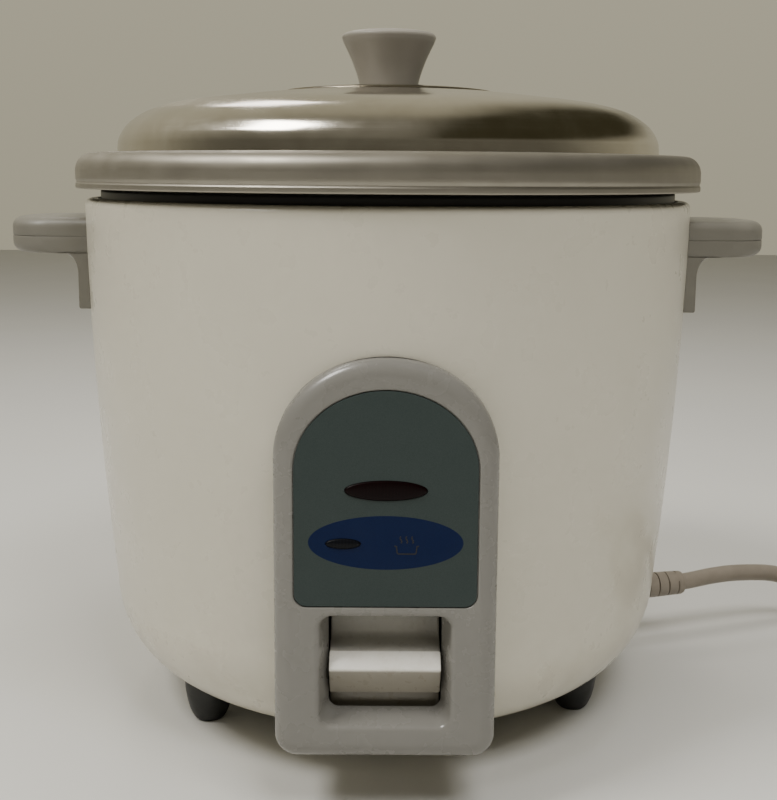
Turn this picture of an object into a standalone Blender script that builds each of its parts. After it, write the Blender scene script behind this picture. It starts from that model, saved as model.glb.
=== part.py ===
"""Rice cooker with a lift-off lid and pan, a rocking cook lever and a magnetic thermostat.

Sizes below are in millimetres and are turned into metres when a mesh is made.
The origin is on the cooker's axis at the height of the table, the front panel faces -Y and +Z is up.
"""

import math

import bmesh
import bpy
from mathutils import Matrix, Vector

MM = 0.001
GAP = 0.3  # clearance kept between neighbouring pieces
TURN_STEPS = 36  # facets round the large turned pieces

# Outer body: a drawn steel shell that swells slightly towards the top.
BODY_TOP_R = 136.3
BODY_TOP_Z = 229.3
BODY_BOTTOM_Z = 16.0
BODY_WALL = 0.8
BODY_TAPER = 1.9  # radius lost by a straight taper over the body's height
BODY_BARREL = 12.5  # radius lost by the barrel curve over the same height
HEEL_Z = 57.3  # where the wall turns into the rounded heel
HEEL_RADIAL = 36.8
SHOULDER_R = 3.2
RIM_EDGE_R = 131.0
BOTTOM_HOLE_R = 72.0

# Inner liner that surrounds the pan and carries the hot plate on its floor.
LINER_R = 121.0
LINER_WALL = 0.6
LINER_FLOOR_Z = 82.6
LINER_HOLE_R = 58.0
LINER_LIP_R = 129.2
LINER_TOP_Z = 233.0

# Aluminium pan with a wide flange that turns down at its edge.
PAN_WALL = 1.6
PAN_FLOOR_Z = 105.1
PAN_R = 117.0
PAN_CORNER_R = 20.0
FLANGE_R = 139.3
FLANGE_CREST_Z = 247.7
FLANGE_EDGE_Z = 233.5
CHANNEL_Z = 244.6

# Stainless lid and its knob.
LID_WALL = 0.6
LID_R = 121.9
LID_EDGE_Z = 245.8
LID_TOP_Z = 278.5
PLATEAU_R = 44.0
KNOB_BASE_R = 13.0
KNOB_TOP_R = 21.4
KNOB_TOP_Z = 305.0

# Hot plate, element and magnetic thermostat in the middle of it.
PLATE_R = 90.0
PLATE_TOP_Z = 104.0
PLATE_THICK = 9.0
PLATE_HOLE_R = 17.2
ELEMENT_R = 52.0
ELEMENT_TUBE_R = 4.2
SENSOR_R = 16.0
TUBE_R = 10.2
STRAP_Z = 80.3
STRAP_THICK = 1.4
MAGNET_Z = 85.1
ROD_R = 1.8
MAGNET_R = 8.6

# Cook lever: it rocks about a pin behind the front panel.
PIVOT_Y = -60.0
PIVOT_Z = 40.0
PIN_R = 1.5
ARM_Z = 42.0
ARM_THICK = 1.5
ARM_HALF = 8.0
LEVER_HALF = 20.8
SHIELD_R = 65.5
RIDGE_Y = -137.6
RIDGE_Z = 58.0

# Front panel.
PANEL_Y = -140.3
PANEL_HALF = 41.0
PANEL_LOW_Z = 25.0
PANEL_SPRING_Z = 139.3
PANEL_ARCH = 37.0
PANEL_CORNER = 8.5
PANEL_EDGE = 5.0
PANEL_WALL = 2.7
LABEL_HALF = 33.3
LABEL_LOW_Z = 84.6
LABEL_SPRING_Z = 135.6
LABEL_ARCH = 29.0
RECESS_HALF = 24.6
RECESS_LOW_Z = 37.5
RECESS_TOP_Z = 80.7
WARM_LENS = (0.0, 128.2, 15.0, 3.7)  # x, z and the half axes of the ellipse
COOK_LENS = (-15.4, 108.4, 6.4, 1.9)

# Carrying handles.
HANDLE_TIP_X = 170.9
HANDLE_LOW_Z = 204.9
HANDLE_TOP_Z = 220.6
HANDLE_PLATE_Z = 180.3
HANDLE_PLATE_X = 140.2
HANDLE_HALF = 32.0
HANDLE_ROUND = 34.5  # half length of the rounded outline that the ledge follows seen from above
HANDLE_SCREW_Z = 195.0

# Feet: two at the front, one at the back.
FOOT_CIRCLE_R = 95.0
FOOT_ANGLES = {"front_left": 214.6, "front_right": 334.6, "rear": 94.6}  # degrees from +X
FOOT_R = 10.8

# Mains cord, which leaves the body on the right near the base.
CORD_R = 4.3
CORD_EXIT_ANGLE = 14.8  # degrees behind +X
COIL_CENTRE = (272.0, 12.0)
COIL_IN_R = 38.2
COIL_OUT_R = 56.0
COIL_LOW_Z = 1.2
COIL_HIGH_Z = 17.0
TIE_THICK = 0.8
CORD_LEAD = (
    (99.7, 26.3, 29.4),
    (113.2, 29.9, 29.4),
    (125.8, 33.2, 29.4),
    (138.3, 36.5, 29.3),
    (149.9, 39.6, 29.2),
    (160.5, 42.6, 29.9),
    (172.5, 46.4, 31.0),
    (184.0, 50.2, 31.2),
    (196.0, 54.5, 30.2),
    (208.0, 59.0, 28.3),
    (218.0, 62.2, 24.9),
    (228.0, 64.4, 19.9),
    (238.0, 65.4, 14.4),
)
CORD_TAIL = (
    (324.4, -21.0, 5.0),
    (325.4, -28.0, 4.6),
    (325.9, -35.0, 4.5),
    (326.0, -42.0, 4.5),
)

FINISHES = {  # base colour, roughness, metallic
    "shell_paint": ((0.45, 0.41, 0.35), 0.32, 0.0),
    "grey_plastic": ((0.22, 0.205, 0.18), 0.42, 0.0),
    "panel_plastic": ((0.33, 0.31, 0.28), 0.3, 0.0),
    "white_plastic": ((0.75, 0.73, 0.68), 0.35, 0.0),
    "black_plastic": ((0.02, 0.02, 0.02), 0.5, 0.0),
    "label_film": ((0.05, 0.062, 0.058), 0.35, 0.0),
    "red_lens": ((0.04, 0.003, 0.005), 0.15, 0.0),
    "dark_lens": ((0.03, 0.035, 0.05), 0.15, 0.0),
    "aluminium": ((0.4, 0.38, 0.35), 0.42, 1.0),
    "stainless": ((0.55, 0.52, 0.47), 0.16, 1.0),
    "galvanised": ((0.42, 0.43, 0.44), 0.45, 1.0),
    "spring_steel": ((0.5, 0.5, 0.5), 0.3, 1.0),
    "brass": ((0.6, 0.45, 0.2), 0.35, 1.0),
    "ferrite": ((0.06, 0.06, 0.065), 0.6, 0.0),
    "ceramic": ((0.7, 0.68, 0.6), 0.5, 0.0),
    "lamp_glass": ((0.8, 0.5, 0.35), 0.1, 0.0),
    "cord_pvc": ((0.26, 0.22, 0.18), 0.45, 0.0),
    "wire_pvc": ((0.5, 0.48, 0.42), 0.5, 0.0),
}


# ---------------------------------------------------------------- modelling helpers


def arc(centre, radii, start, end, steps):
    """Points of an elliptical arc, angles in degrees."""
    points = []
    for i in range(steps + 1):
        a = math.radians(start + (end - start) * i / steps)
        points.append((centre[0] + radii[0] * math.cos(a), centre[1] + radii[1] * math.sin(a)))
    return points


def offset(points, distance):
    """The open outline moved to its left by distance, with mitred corners."""
    moved = []
    for i, point in enumerate(points):
        before = Vector(points[max(i - 1, 0)])
        after = Vector(points[min(i + 1, len(points) - 1)])
        here = Vector(point)
        first = (here - before).normalized() if i else (after - here).normalized()
        last = (after - here).normalized() if i < len(points) - 1 else first
        left = Vector((-first.y - last.y, first.x + last.x)).normalized()
        stretch = 1.0 / max(0.5, left.dot(Vector((-first.y, first.x))))
        moved.append(tuple(here + left * distance * stretch))
    return moved


def sheet_outline(points, thickness):
    """Closed outline of sheet metal whose right-hand surface follows the points."""
    return points + offset(points, thickness)[::-1]


def new_object(name, bm, finish, at=(0, 0, 0), turn=None, parent=None):
    """Puts a bmesh in millimetres into the scene as one named object."""
    bmesh.ops.scale(bm, vec=(MM, MM, MM), verts=bm.verts)
    bmesh.ops.recalc_face_normals(bm, faces=bm.faces)
    mesh = bpy.data.meshes.new(name)
    bm.to_mesh(mesh)
    bm.free()
    mesh.shade_smooth()
    mesh.set_sharp_from_angle(angle=math.radians(35))
    obj = bpy.data.objects.new(name, mesh)
    bpy.context.scene.collection.objects.link(obj)
    place(obj, at, turn, parent)
    if finish:
        paint(obj, finish)
    else:
        obj.hide_render = True
        obj.display_type = "WIRE"
    return obj


def place(obj, at, turn, parent):
    """Sets an object's place in the world in millimetres, below its parent if it has one."""
    matrix = Matrix.Translation(Vector(at) * MM)
    if turn:
        matrix = matrix @ turn.to_4x4()
    if parent:
        obj.parent = parent
        matrix = Matrix.Translation(-parent.location) @ matrix
    obj.location, rotation, _ = matrix.decompose()
    obj.rotation_euler = rotation.to_euler()


def paint(obj, finish):
    colour, roughness, metallic = FINISHES[finish]
    material = bpy.data.materials.new(obj.name + "_" + finish)
    material.use_nodes = True
    shader = material.node_tree.nodes["Principled BSDF"]
    shader.inputs["Base Color"].default_value = (*colour, 1.0)
    shader.inputs["Roughness"].default_value = roughness
    shader.inputs["Metallic"].default_value = metallic
    obj.data.materials.append(material)


def pivot(name, at):
    """An empty on a joint's axis, for the pieces that move with it."""
    empty = bpy.data.objects.new(name, None)
    empty.location = Vector(at) * MM
    bpy.context.scene.collection.objects.link(empty)
    return empty


def turned(name, outline, finish, steps=TURN_STEPS, **placing):
    """Solid of revolution about Z. An outline that meets the axis starts and ends on it."""
    bm = bmesh.new()
    ring = [bm.verts.new((r, 0.0, z)) for r, z in outline]
    on_axis = outline[0][0] == 0 and outline[-1][0] == 0
    pairs = list(zip(ring, ring[1:]))
    if not on_axis:
        pairs.append((ring[-1], ring[0]))
    edges = [bm.edges.new(pair) for pair in pairs]
    bmesh.ops.spin(
        bm,
        geom=ring + edges,
        axis=(0, 0, 1),
        cent=(0, 0, 0),
        angle=math.tau,
        steps=steps,
        use_merge=True,
    )
    bmesh.ops.remove_doubles(bm, verts=bm.verts, dist=0.001)
    return new_object(name, bm, finish, **placing)


def lofted(name, sections, finish, **placing):
    """Closed solid through sections of equal point counts, capped at both ends."""
    bm = bmesh.new()
    loops = [[bm.verts.new(p) for p in section] for section in sections]
    for low, high in zip(loops, loops[1:]):
        count = len(low)
        for i in range(count):
            j = (i + 1) % count
            bm.faces.new((low[i], low[j], high[j], high[i]))
    bm.faces.new(loops[0][::-1])
    bm.faces.new(loops[-1])
    return new_object(name, bm, finish, **placing)


def box(name, low, high, finish, **placing):
    corners = [(low[0], low[1]), (high[0], low[1]), (high[0], high[1]), (low[0], high[1])]
    sections = [[(x, y, z) for x, y in corners] for z in (low[2], high[2])]
    return lofted(name, sections, finish, **placing)


def rod(name, start, end, radius, finish, steps=12, **placing):
    """Plain cylinder between two points."""
    axis = Vector(end) - Vector(start)
    turn = axis.to_track_quat("Z", "Y").to_matrix()
    outline = [(0, 0), (radius, 0), (radius, axis.length), (0, axis.length)]
    return turned(name, outline, finish, steps=steps, at=start, turn=turn, **placing)


def screw(name, start, direction, length, finish="spring_steel"):
    """Pan-head screw: start is the underside of its head and direction points along the shank."""
    turn = Vector(direction).to_track_quat("Z", "Y").to_matrix()
    outline = [(0, -2.6), (2.8, -2.4), (3.9, -1.0), (3.9, 0), (1.9, 0), (1.9, length), (0, length)]
    return turned(name, outline, finish, steps=8, at=start, turn=turn)


def tube(name, points, radius, finish, bevel_resolution=2, **placing):
    """Round bar along points, as a curve with filled ends."""
    curve = bpy.data.curves.new(name, "CURVE")
    curve.dimensions = "3D"
    curve.bevel_depth = radius * MM
    curve.bevel_resolution = bevel_resolution
    curve.use_fill_caps = True
    spline = curve.splines.new("POLY")
    spline.points.add(len(points) - 1)
    for target, point in zip(spline.points, points):
        target.co = (*(Vector(point) * MM), 1.0)
    obj = bpy.data.objects.new(name, curve)
    bpy.context.scene.collection.objects.link(obj)
    paint(obj, finish)
    return obj


def smooth_route(points, step):
    """Points about step apart on a smooth curve through the given points."""
    knots = [Vector(p) for p in points]
    knots = [2 * knots[0] - knots[1], *knots, 2 * knots[-1] - knots[-2]]
    route = []
    for a, b, c, d in zip(knots, knots[1:], knots[2:], knots[3:]):
        pieces = max(1, round((c - b).length / step))
        for i in range(pieces):
            t = i / pieces
            route.append(
                0.5
                * (
                    2 * b
                    + (c - a) * t
                    + (2 * a - 5 * b + 4 * c - d) * t * t
                    + (3 * b - a - 3 * c + d) * t * t * t
                )
            )
    route.append(knots[-2])
    return route


def boolean(obj, other, operation="DIFFERENCE"):
    modifier = obj.modifiers.new(other.name, "BOOLEAN")
    modifier.operation = operation
    modifier.object = other


# ---------------------------------------------------------------- outlines


def body_radius(z):
    """Outer radius of the body's side wall."""
    down = (BODY_TOP_Z - z) / (BODY_TOP_Z - BODY_BOTTOM_Z)
    return BODY_TOP_R - BODY_TAPER * down - BODY_BARREL * down * down


def body_surface():
    """The shell's outer surface, from the edge of its bottom hole up to the edge of its rim."""
    heel_r = body_radius(HEEL_Z)
    heel = arc(
        (heel_r - HEEL_RADIAL, HEEL_Z), (HEEL_RADIAL, HEEL_Z - BODY_BOTTOM_Z), -90, 0, 6
    )
    heights = [HEEL_Z + (BODY_TOP_Z - SHOULDER_R - HEEL_Z) * i / 3 for i in range(1, 4)]
    wall = [(body_radius(z), z) for z in heights]
    top_r = wall[-1][0]
    shoulder = arc((top_r - SHOULDER_R, BODY_TOP_Z - SHOULDER_R), (SHOULDER_R,) * 2, 45, 90, 1)
    return [(BOTTOM_HOLE_R, BODY_BOTTOM_Z), *heel, *wall, *shoulder, (RIM_EDGE_R, BODY_TOP_Z)]


def arch(half, low_z, spring_z, rise, corner, y):
    """Outline of a panel with rounded lower corners and an elliptical top, in the plane y."""
    corner = max(corner, 0.5)
    outline = arc((-half + corner, low_z + corner), (corner, corner), 180, 270, 3)
    outline += arc((half - corner, low_z + corner), (corner, corner), 270, 360, 3)
    outline += arc((0, spring_z), (half, rise), 0, 180, 16)
    return [(x, y, z) for x, z in outline]


def panel_section(inset, y):
    return arch(
        PANEL_HALF - inset,
        PANEL_LOW_Z + inset,
        PANEL_SPRING_Z,
        PANEL_ARCH - inset,
        PANEL_CORNER - inset,
        y,
    )


def rounded_rectangle(low, high, radius, y):
    (x0, z0), (x1, z1) = low, high
    corners = ((x1 - radius, z1 - radius, 0), (x0 + radius, z1 - radius, 90))
    corners += ((x0 + radius, z0 + radius, 180), (x1 - radius, z0 + radius, 270))
    outline = []
    for x, z, start in corners:
        outline += arc((x, z), (radius, radius), start, start + 90, 3)
    return [(x, y, z) for x, z in outline]


def ellipse_section(lens, grow, y, steps=20):
    x, z, half_x, half_z = lens
    return [(px, y, pz) for px, pz in arc((x, z), (half_x + grow, half_z + grow), 0, 360, steps)][:-1]


# ---------------------------------------------------------------- body and liner


def cord_direction():
    a = math.radians(CORD_EXIT_ANGLE)
    return Vector((math.cos(a), math.sin(a), 0.01)).normalized()


def cord_exit():
    return Vector(CORD_LEAD[1])


def foot_places():
    places = {}
    for where, angle in FOOT_ANGLES.items():
        a = math.radians(angle)
        places[where] = (FOOT_CIRCLE_R * math.cos(a), FOOT_CIRCLE_R * math.sin(a), 0.0)
    return places


def make_body():
    shell = turned("outer_body", sheet_outline(body_surface(), BODY_WALL), "shell_paint")
    boolean(shell, box("lever_window_cut", (-23.5, -150, 31), (23.5, -95, 84), None))
    boolean(shell, box("lamp_window_cut", (-28, -150, 98), (28, -110, 140), None))
    hole_start = cord_exit() - cord_direction() * 25
    hole_end = cord_exit() + cord_direction() * 15
    boolean(shell, rod("cord_hole_cut", hole_start, hole_end, 7.2, None, steps=16))
    for side, x in (("left", -1), ("right", 1)):
        ends = ((x * 128, 0, HANDLE_SCREW_Z), (x * 142, 0, HANDLE_SCREW_Z))
        boolean(shell, rod(f"handle_hole_{side}_cut", *ends, 2.4, None))
    for where, (x, y, _) in foot_places().items():
        boolean(shell, rod(f"foot_hole_{where}_cut", (x, y, 10), (x, y, 24), 2.4, None))
    for i, (x, y) in enumerate(base_screw_places()):
        boolean(shell, rod(f"base_hole_{i + 1}_cut", (x, y, 10), (x, y, 24), 2.4, None))


def make_liner():
    corner = 10.0
    outer = LINER_R + LINER_WALL / 2
    floor = LINER_FLOOR_Z - LINER_WALL / 2
    surface = [(LINER_HOLE_R, floor)]
    surface += arc((outer - corner, floor + corner), (corner, corner), -90, 0, 3)
    surface += [(outer, LINER_TOP_Z - 5), (outer + 1.6, LINER_TOP_Z - 0.6)]
    top = sheet_outline(surface, LINER_WALL)
    # The rim folds over outwards and down, inside the edge of the outer body.
    inner_wall = top[len(surface) :]
    rim_out = LINER_LIP_R + LINER_WALL / 2
    rim = [
        (outer + 1.9, LINER_TOP_Z - 0.5),
        (rim_out - LINER_WALL, LINER_TOP_Z - 0.5),
        (rim_out - LINER_WALL, LINER_TOP_Z - 6.5),
        (rim_out, LINER_TOP_Z - 6.5),
        (rim_out, LINER_TOP_Z - 0.2),
        (rim_out - 0.6, LINER_TOP_Z + 0.5),
    ]
    turned("inner_liner", surface[:-1] + rim + inner_wall, "galvanised")


def base_screw_places():
    radius = 77.5
    angles = (math.radians(a) for a in (13, 133, 253))
    return [(radius * math.cos(a), radius * math.sin(a)) for a in angles]


def make_base():
    low, high = 14.5, BODY_BOTTOM_Z - GAP
    cover = turned(
        "base_cover", [(0, low), (81.6, low), (82.6, low + 0.6), (82.6, high), (0, high)], "galvanised"
    )
    slots = bmesh.new()
    for i in range(6):
        spoke = Matrix.Rotation(math.tau * (i + 0.5) / 6, 4, "Z")
        centre = Matrix.Translation((45, 0, low))
        bmesh.ops.create_cube(slots, size=1, matrix=spoke @ centre @ Matrix.Diagonal((30, 5, 8, 1)))
    boolean(cover, new_object("vent_slots_cut", slots, None))
    for i, (x, y) in enumerate(base_screw_places()):
        boolean(cover, rod(f"cover_hole_{i + 1}_cut", (x, y, 10), (x, y, 20), 2.4, None))
        screw(f"base_screw_{i + 1}", (x, y, low - GAP), (0, 0, 1), 7)


def make_feet(body_clearance):
    # A domed foot with a flat ring round its screw.
    outline = [(2.4, 24), (2.4, 6.5), (4.2, 6.5), (4.2, 0), (5.8, 0), (7.2, 1.6), (8.8, 5.2)]
    outline += [(9.9, 9.6), (FOOT_R, 14.5), (FOOT_R, 24)]
    for where, at in foot_places().items():
        foot = turned(f"foot_{where}", outline, "black_plastic", steps=16, at=at)
        boolean(foot, body_clearance)
        screw(f"foot_screw_{where}", (at[0], at[1], 6.2), (0, 0, 1), 14)


# ---------------------------------------------------------------- handles


def handle_section(y, inset):
    """The handle's outline in the plane y: a ledge, a fillet below it and a plate on the body."""
    share = (1 - (abs(y) / HANDLE_ROUND) ** 3) ** (1 / 3)
    tip = HANDLE_PLATE_X + (HANDLE_TIP_X - HANDLE_PLATE_X) * share - inset
    plate = math.sqrt(HANDLE_PLATE_X**2 - y * y) - inset * 0.6
    low, high = HANDLE_LOW_Z + inset, HANDLE_TOP_Z - inset
    edge, fillet = 4.5, 9.0
    outline = [(120.0, HANDLE_PLATE_Z + inset), (plate - 1.0, HANDLE_PLATE_Z + inset)]
    outline += [(plate, HANDLE_PLATE_Z + inset + 1.0)]
    outline += arc((plate + fillet, low - fillet), (fillet, fillet), 180, 90, 4)
    outline += arc((tip - edge, low + edge), (edge, edge), -90, 0, 3)
    outline += arc((tip - edge, high - edge), (edge, edge), 0, 90, 3)
    outline += [(120.0, high)]
    return outline


def make_handles(body_clearance):
    places = ((-32.0, 2.6), (-31.2, 0.9), (-29.0, 0.0), (-24.0, 0.0), (-18.0, 0.0), (-7.0, 0.0))
    places += tuple((-y, inset) for y, inset in reversed(places))
    for side, mirror in (("left", -1), ("right", 1)):
        sections = [[(mirror * x, y, z) for x, z in handle_section(y, inset)] for y, inset in places]
        handle = lofted(f"handle_{side}", sections, "grey_plastic")
        boolean(handle, body_clearance)
        ends = ((mirror * 130, 0, HANDLE_SCREW_Z), (mirror * 139, 0, HANDLE_SCREW_Z))
        boolean(handle, rod(f"handle_bore_{side}_cut", *ends, 2.3, None))
        head = (mirror * (body_radius(HANDLE_SCREW_Z) - BODY_WALL - 0.8), 0, HANDLE_SCREW_Z)
        screw(f"handle_screw_{side}", head, (mirror, 0, 0), 4.2)


# ---------------------------------------------------------------- pan and lid


def make_pan():
    surface = [(0, PAN_FLOOR_Z - PAN_WALL / 2)]
    outer = PAN_R + PAN_WALL / 2
    surface += arc((outer - PAN_CORNER_R, surface[0][1] + PAN_CORNER_R), (PAN_CORNER_R,) * 2, -90, 0, 3)
    surface += [(outer + 0.4, CHANNEL_Z - 3.0), (outer + 2.2, CHANNEL_Z - 0.8), (124.6, CHANNEL_Z - 0.8)]
    surface += [(128.2, FLANGE_CREST_Z - 1.8), (132.0, FLANGE_CREST_Z - 0.8)]
    surface += [(FLANGE_R - 3.0, FLANGE_CREST_Z - 2.2), (FLANGE_R - 0.8, FLANGE_CREST_Z - 5.6)]
    surface += [(FLANGE_R - 0.8, FLANGE_EDGE_Z)]
    inside = offset(surface, PAN_WALL)[::-1]
    inside[-1] = (0, inside[-1][1])
    # A small bead thickens the lip's lower edge.
    bead = [(FLANGE_R + 0.8, FLANGE_EDGE_Z), (FLANGE_R + 0.8, FLANGE_EDGE_Z + 2.6)]
    inside = [*bead, (FLANGE_R + 0.4, FLANGE_EDGE_Z + 3.2), *inside[1:]]
    lift = pivot("pan_lift_origin", (0, 0, PLATE_TOP_Z))
    turned("inner_pan", surface + inside, "aluminium", parent=lift)


def make_lid():
    surface = [(LID_R, LID_EDGE_Z), (LID_R - 0.1, 253.0), (120.4, 257.2), (116.5, 262.6), (108.0, 267.8)]
    surface += [(89.0, 272.0), (66.5, 274.8), (PLATEAU_R + 2, 276.6), (PLATEAU_R - 3, LID_TOP_Z - 0.4)]
    surface += [(2.6, LID_TOP_Z)]
    lift = pivot("lid_lift_origin", (0, 0, LID_EDGE_Z))
    turned("lid", sheet_outline(surface, LID_WALL), "stainless", parent=lift)
    base = LID_TOP_Z + GAP
    flare = [(KNOB_BASE_R, base), (15.3, base + 8), (16.9, base + 12), (18.5, base + 16)]
    flare += [(20.5, base + 20)]
    crown = [(KNOB_TOP_R, base + 22.2), (21.1, base + 23.6), (19.4, base + 24.8), (12, base + 25.8)]
    crown += [(0, KNOB_TOP_Z)]
    bore = [(0, base + 12.5), (2.3, base + 12.5), (2.3, base)]
    turned("lid_knob", bore + flare + crown, "grey_plastic", steps=24, parent=lift)
    under = LID_TOP_Z - LID_WALL - GAP
    fastener = screw("knob_screw", (0, 0, under), (0, 0, 1), 11.5)
    fastener.parent = lift
    fastener.location -= lift.location


# ---------------------------------------------------------------- heating and thermostat


def make_hot_plate():
    low = PLATE_TOP_Z - PLATE_THICK
    outline = [(PLATE_HOLE_R, low), (PLATE_R - 2, low), (PLATE_R, low + 2), (PLATE_R, PLATE_TOP_Z - 1.5)]
    outline += [(PLATE_R - 1.5, PLATE_TOP_Z), (PLATE_HOLE_R + 1, PLATE_TOP_Z)]
    outline += [(PLATE_HOLE_R, PLATE_TOP_Z - 1)]
    turned("hot_plate", outline, "aluminium")
    ring_z = low - ELEMENT_TUBE_R - GAP
    ring = arc((0, 0), (ELEMENT_R, ELEMENT_R), 18, 342, 26)
    end_z = ring_z - 18
    path = [(*ring[0], end_z), (*ring[0], ring_z - 3)]
    path += [(x, y, ring_z) for x, y in ring[1:-1]]
    path += [(*ring[-1], ring_z - 3), (*ring[-1], end_z)]
    tube("heating_element", path, ELEMENT_TUBE_R, "spring_steel")
    floor = LINER_FLOOR_Z + LINER_WALL / 2 + GAP
    for i in range(3):
        a = math.radians(90 + 120 * i)
        foot = (78 * math.cos(a), 78 * math.sin(a), floor)
        rod(f"plate_spacer_{i + 1}", foot, (*foot[:2], low - GAP), 5.0, "ceramic")


def helix(radius, low, high, turns, points_per_turn=9):
    steps = turns * points_per_turn
    return [
        (
            radius * math.cos(math.tau * i / points_per_turn),
            radius * math.sin(math.tau * i / points_per_turn),
            low + (high - low) * i / steps,
        )
        for i in range(steps + 1)
    ]


def make_thermostat():
    strap = box(
        "thermostat_bracket", (-68, -8, STRAP_Z), (68, 8, STRAP_Z + STRAP_THICK), "galvanised"
    )
    seat = ((0, 0, STRAP_Z), (0, 0, STRAP_Z + STRAP_THICK))
    boolean(strap, rod("strap_seat_guide", *seat, 15.5, None, steps=20), "UNION")
    bore = ((0, 0, STRAP_Z - 6), (0, 0, STRAP_Z + 8))
    boolean(strap, rod("strap_bore_cut", *bore, TUBE_R + GAP, None, steps=16))
    wall = 1.0
    under, shelf, top = STRAP_Z - GAP, MAGNET_Z - GAP, MAGNET_Z + 6.9
    outline = [(TUBE_R + 2.5, under - 1.0), (TUBE_R + 2.5, under), (TUBE_R, under), (TUBE_R, top)]
    outline += [(TUBE_R - wall, top), (TUBE_R - wall, shelf), (ROD_R + 0.6, shelf)]
    outline += [(ROD_R + 0.6, shelf - wall), (TUBE_R - wall, shelf - wall), (TUBE_R - wall, under - 1.0)]
    turned("thermostat_body", outline, "brass", steps=16)

    sensor = pivot("sensor_press_origin", (0, 0, PLATE_TOP_Z))
    skirt = 12.0
    cap = [(0, PLATE_TOP_Z), (SENSOR_R - 1, PLATE_TOP_Z), (SENSOR_R, PLATE_TOP_Z - 1)]
    cap += [(SENSOR_R, PLATE_TOP_Z - skirt), (SENSOR_R - 1, PLATE_TOP_Z - skirt)]
    cap += [(SENSOR_R - 1, PLATE_TOP_Z - 1), (0, PLATE_TOP_Z - 1)]
    turned("sensor_cap", cap, "aluminium", steps=18, parent=sensor)
    ferrite_top = PLATE_TOP_Z - 1 - GAP
    disc = ((0, 0, ferrite_top - 3.5), (0, 0, ferrite_top))
    rod("sensor_ferrite", *disc, MAGNET_R, "ferrite", 16, parent=sensor)
    coil = helix(12.6, STRAP_Z + STRAP_THICK + 0.9, PLATE_TOP_Z - 1.9, 4)
    tube("sensor_spring", coil, 0.55, "spring_steel", bevel_resolution=1)

    magnet = pivot("magnet_slide_origin", (0, 0, MAGNET_Z))
    rod("magnet", (0, 0, MAGNET_Z), (0, 0, MAGNET_Z + 5), MAGNET_R, "ferrite", 16, parent=magnet)
    # The collar rests over the link arm's fork, which tips as it lifts, so it is narrow and a little clear.
    collar, collar_r = ARM_Z + ARM_THICK + 0.5, 4.8
    seat = shelf - 18
    shaft = [(0, 34), (ROD_R, 34), (ROD_R, collar), (collar_r, collar), (collar_r, collar + 1.6)]
    shaft += [(ROD_R, collar + 1.6), (ROD_R, seat - 1.4), (5.4, seat - 1.4), (5.4, seat)]
    shaft += [(ROD_R, seat), (ROD_R, MAGNET_Z - GAP), (0, MAGNET_Z - GAP)]
    turned("magnet_rod", shaft, "spring_steel", steps=12, parent=magnet)
    coil = helix(4.3, seat + 0.9, shelf - wall - 0.9, 5, points_per_turn=8)
    tube("return_spring", coil, 0.5, "spring_steel", bevel_resolution=1)


# ---------------------------------------------------------------- cook lever and switch


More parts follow.
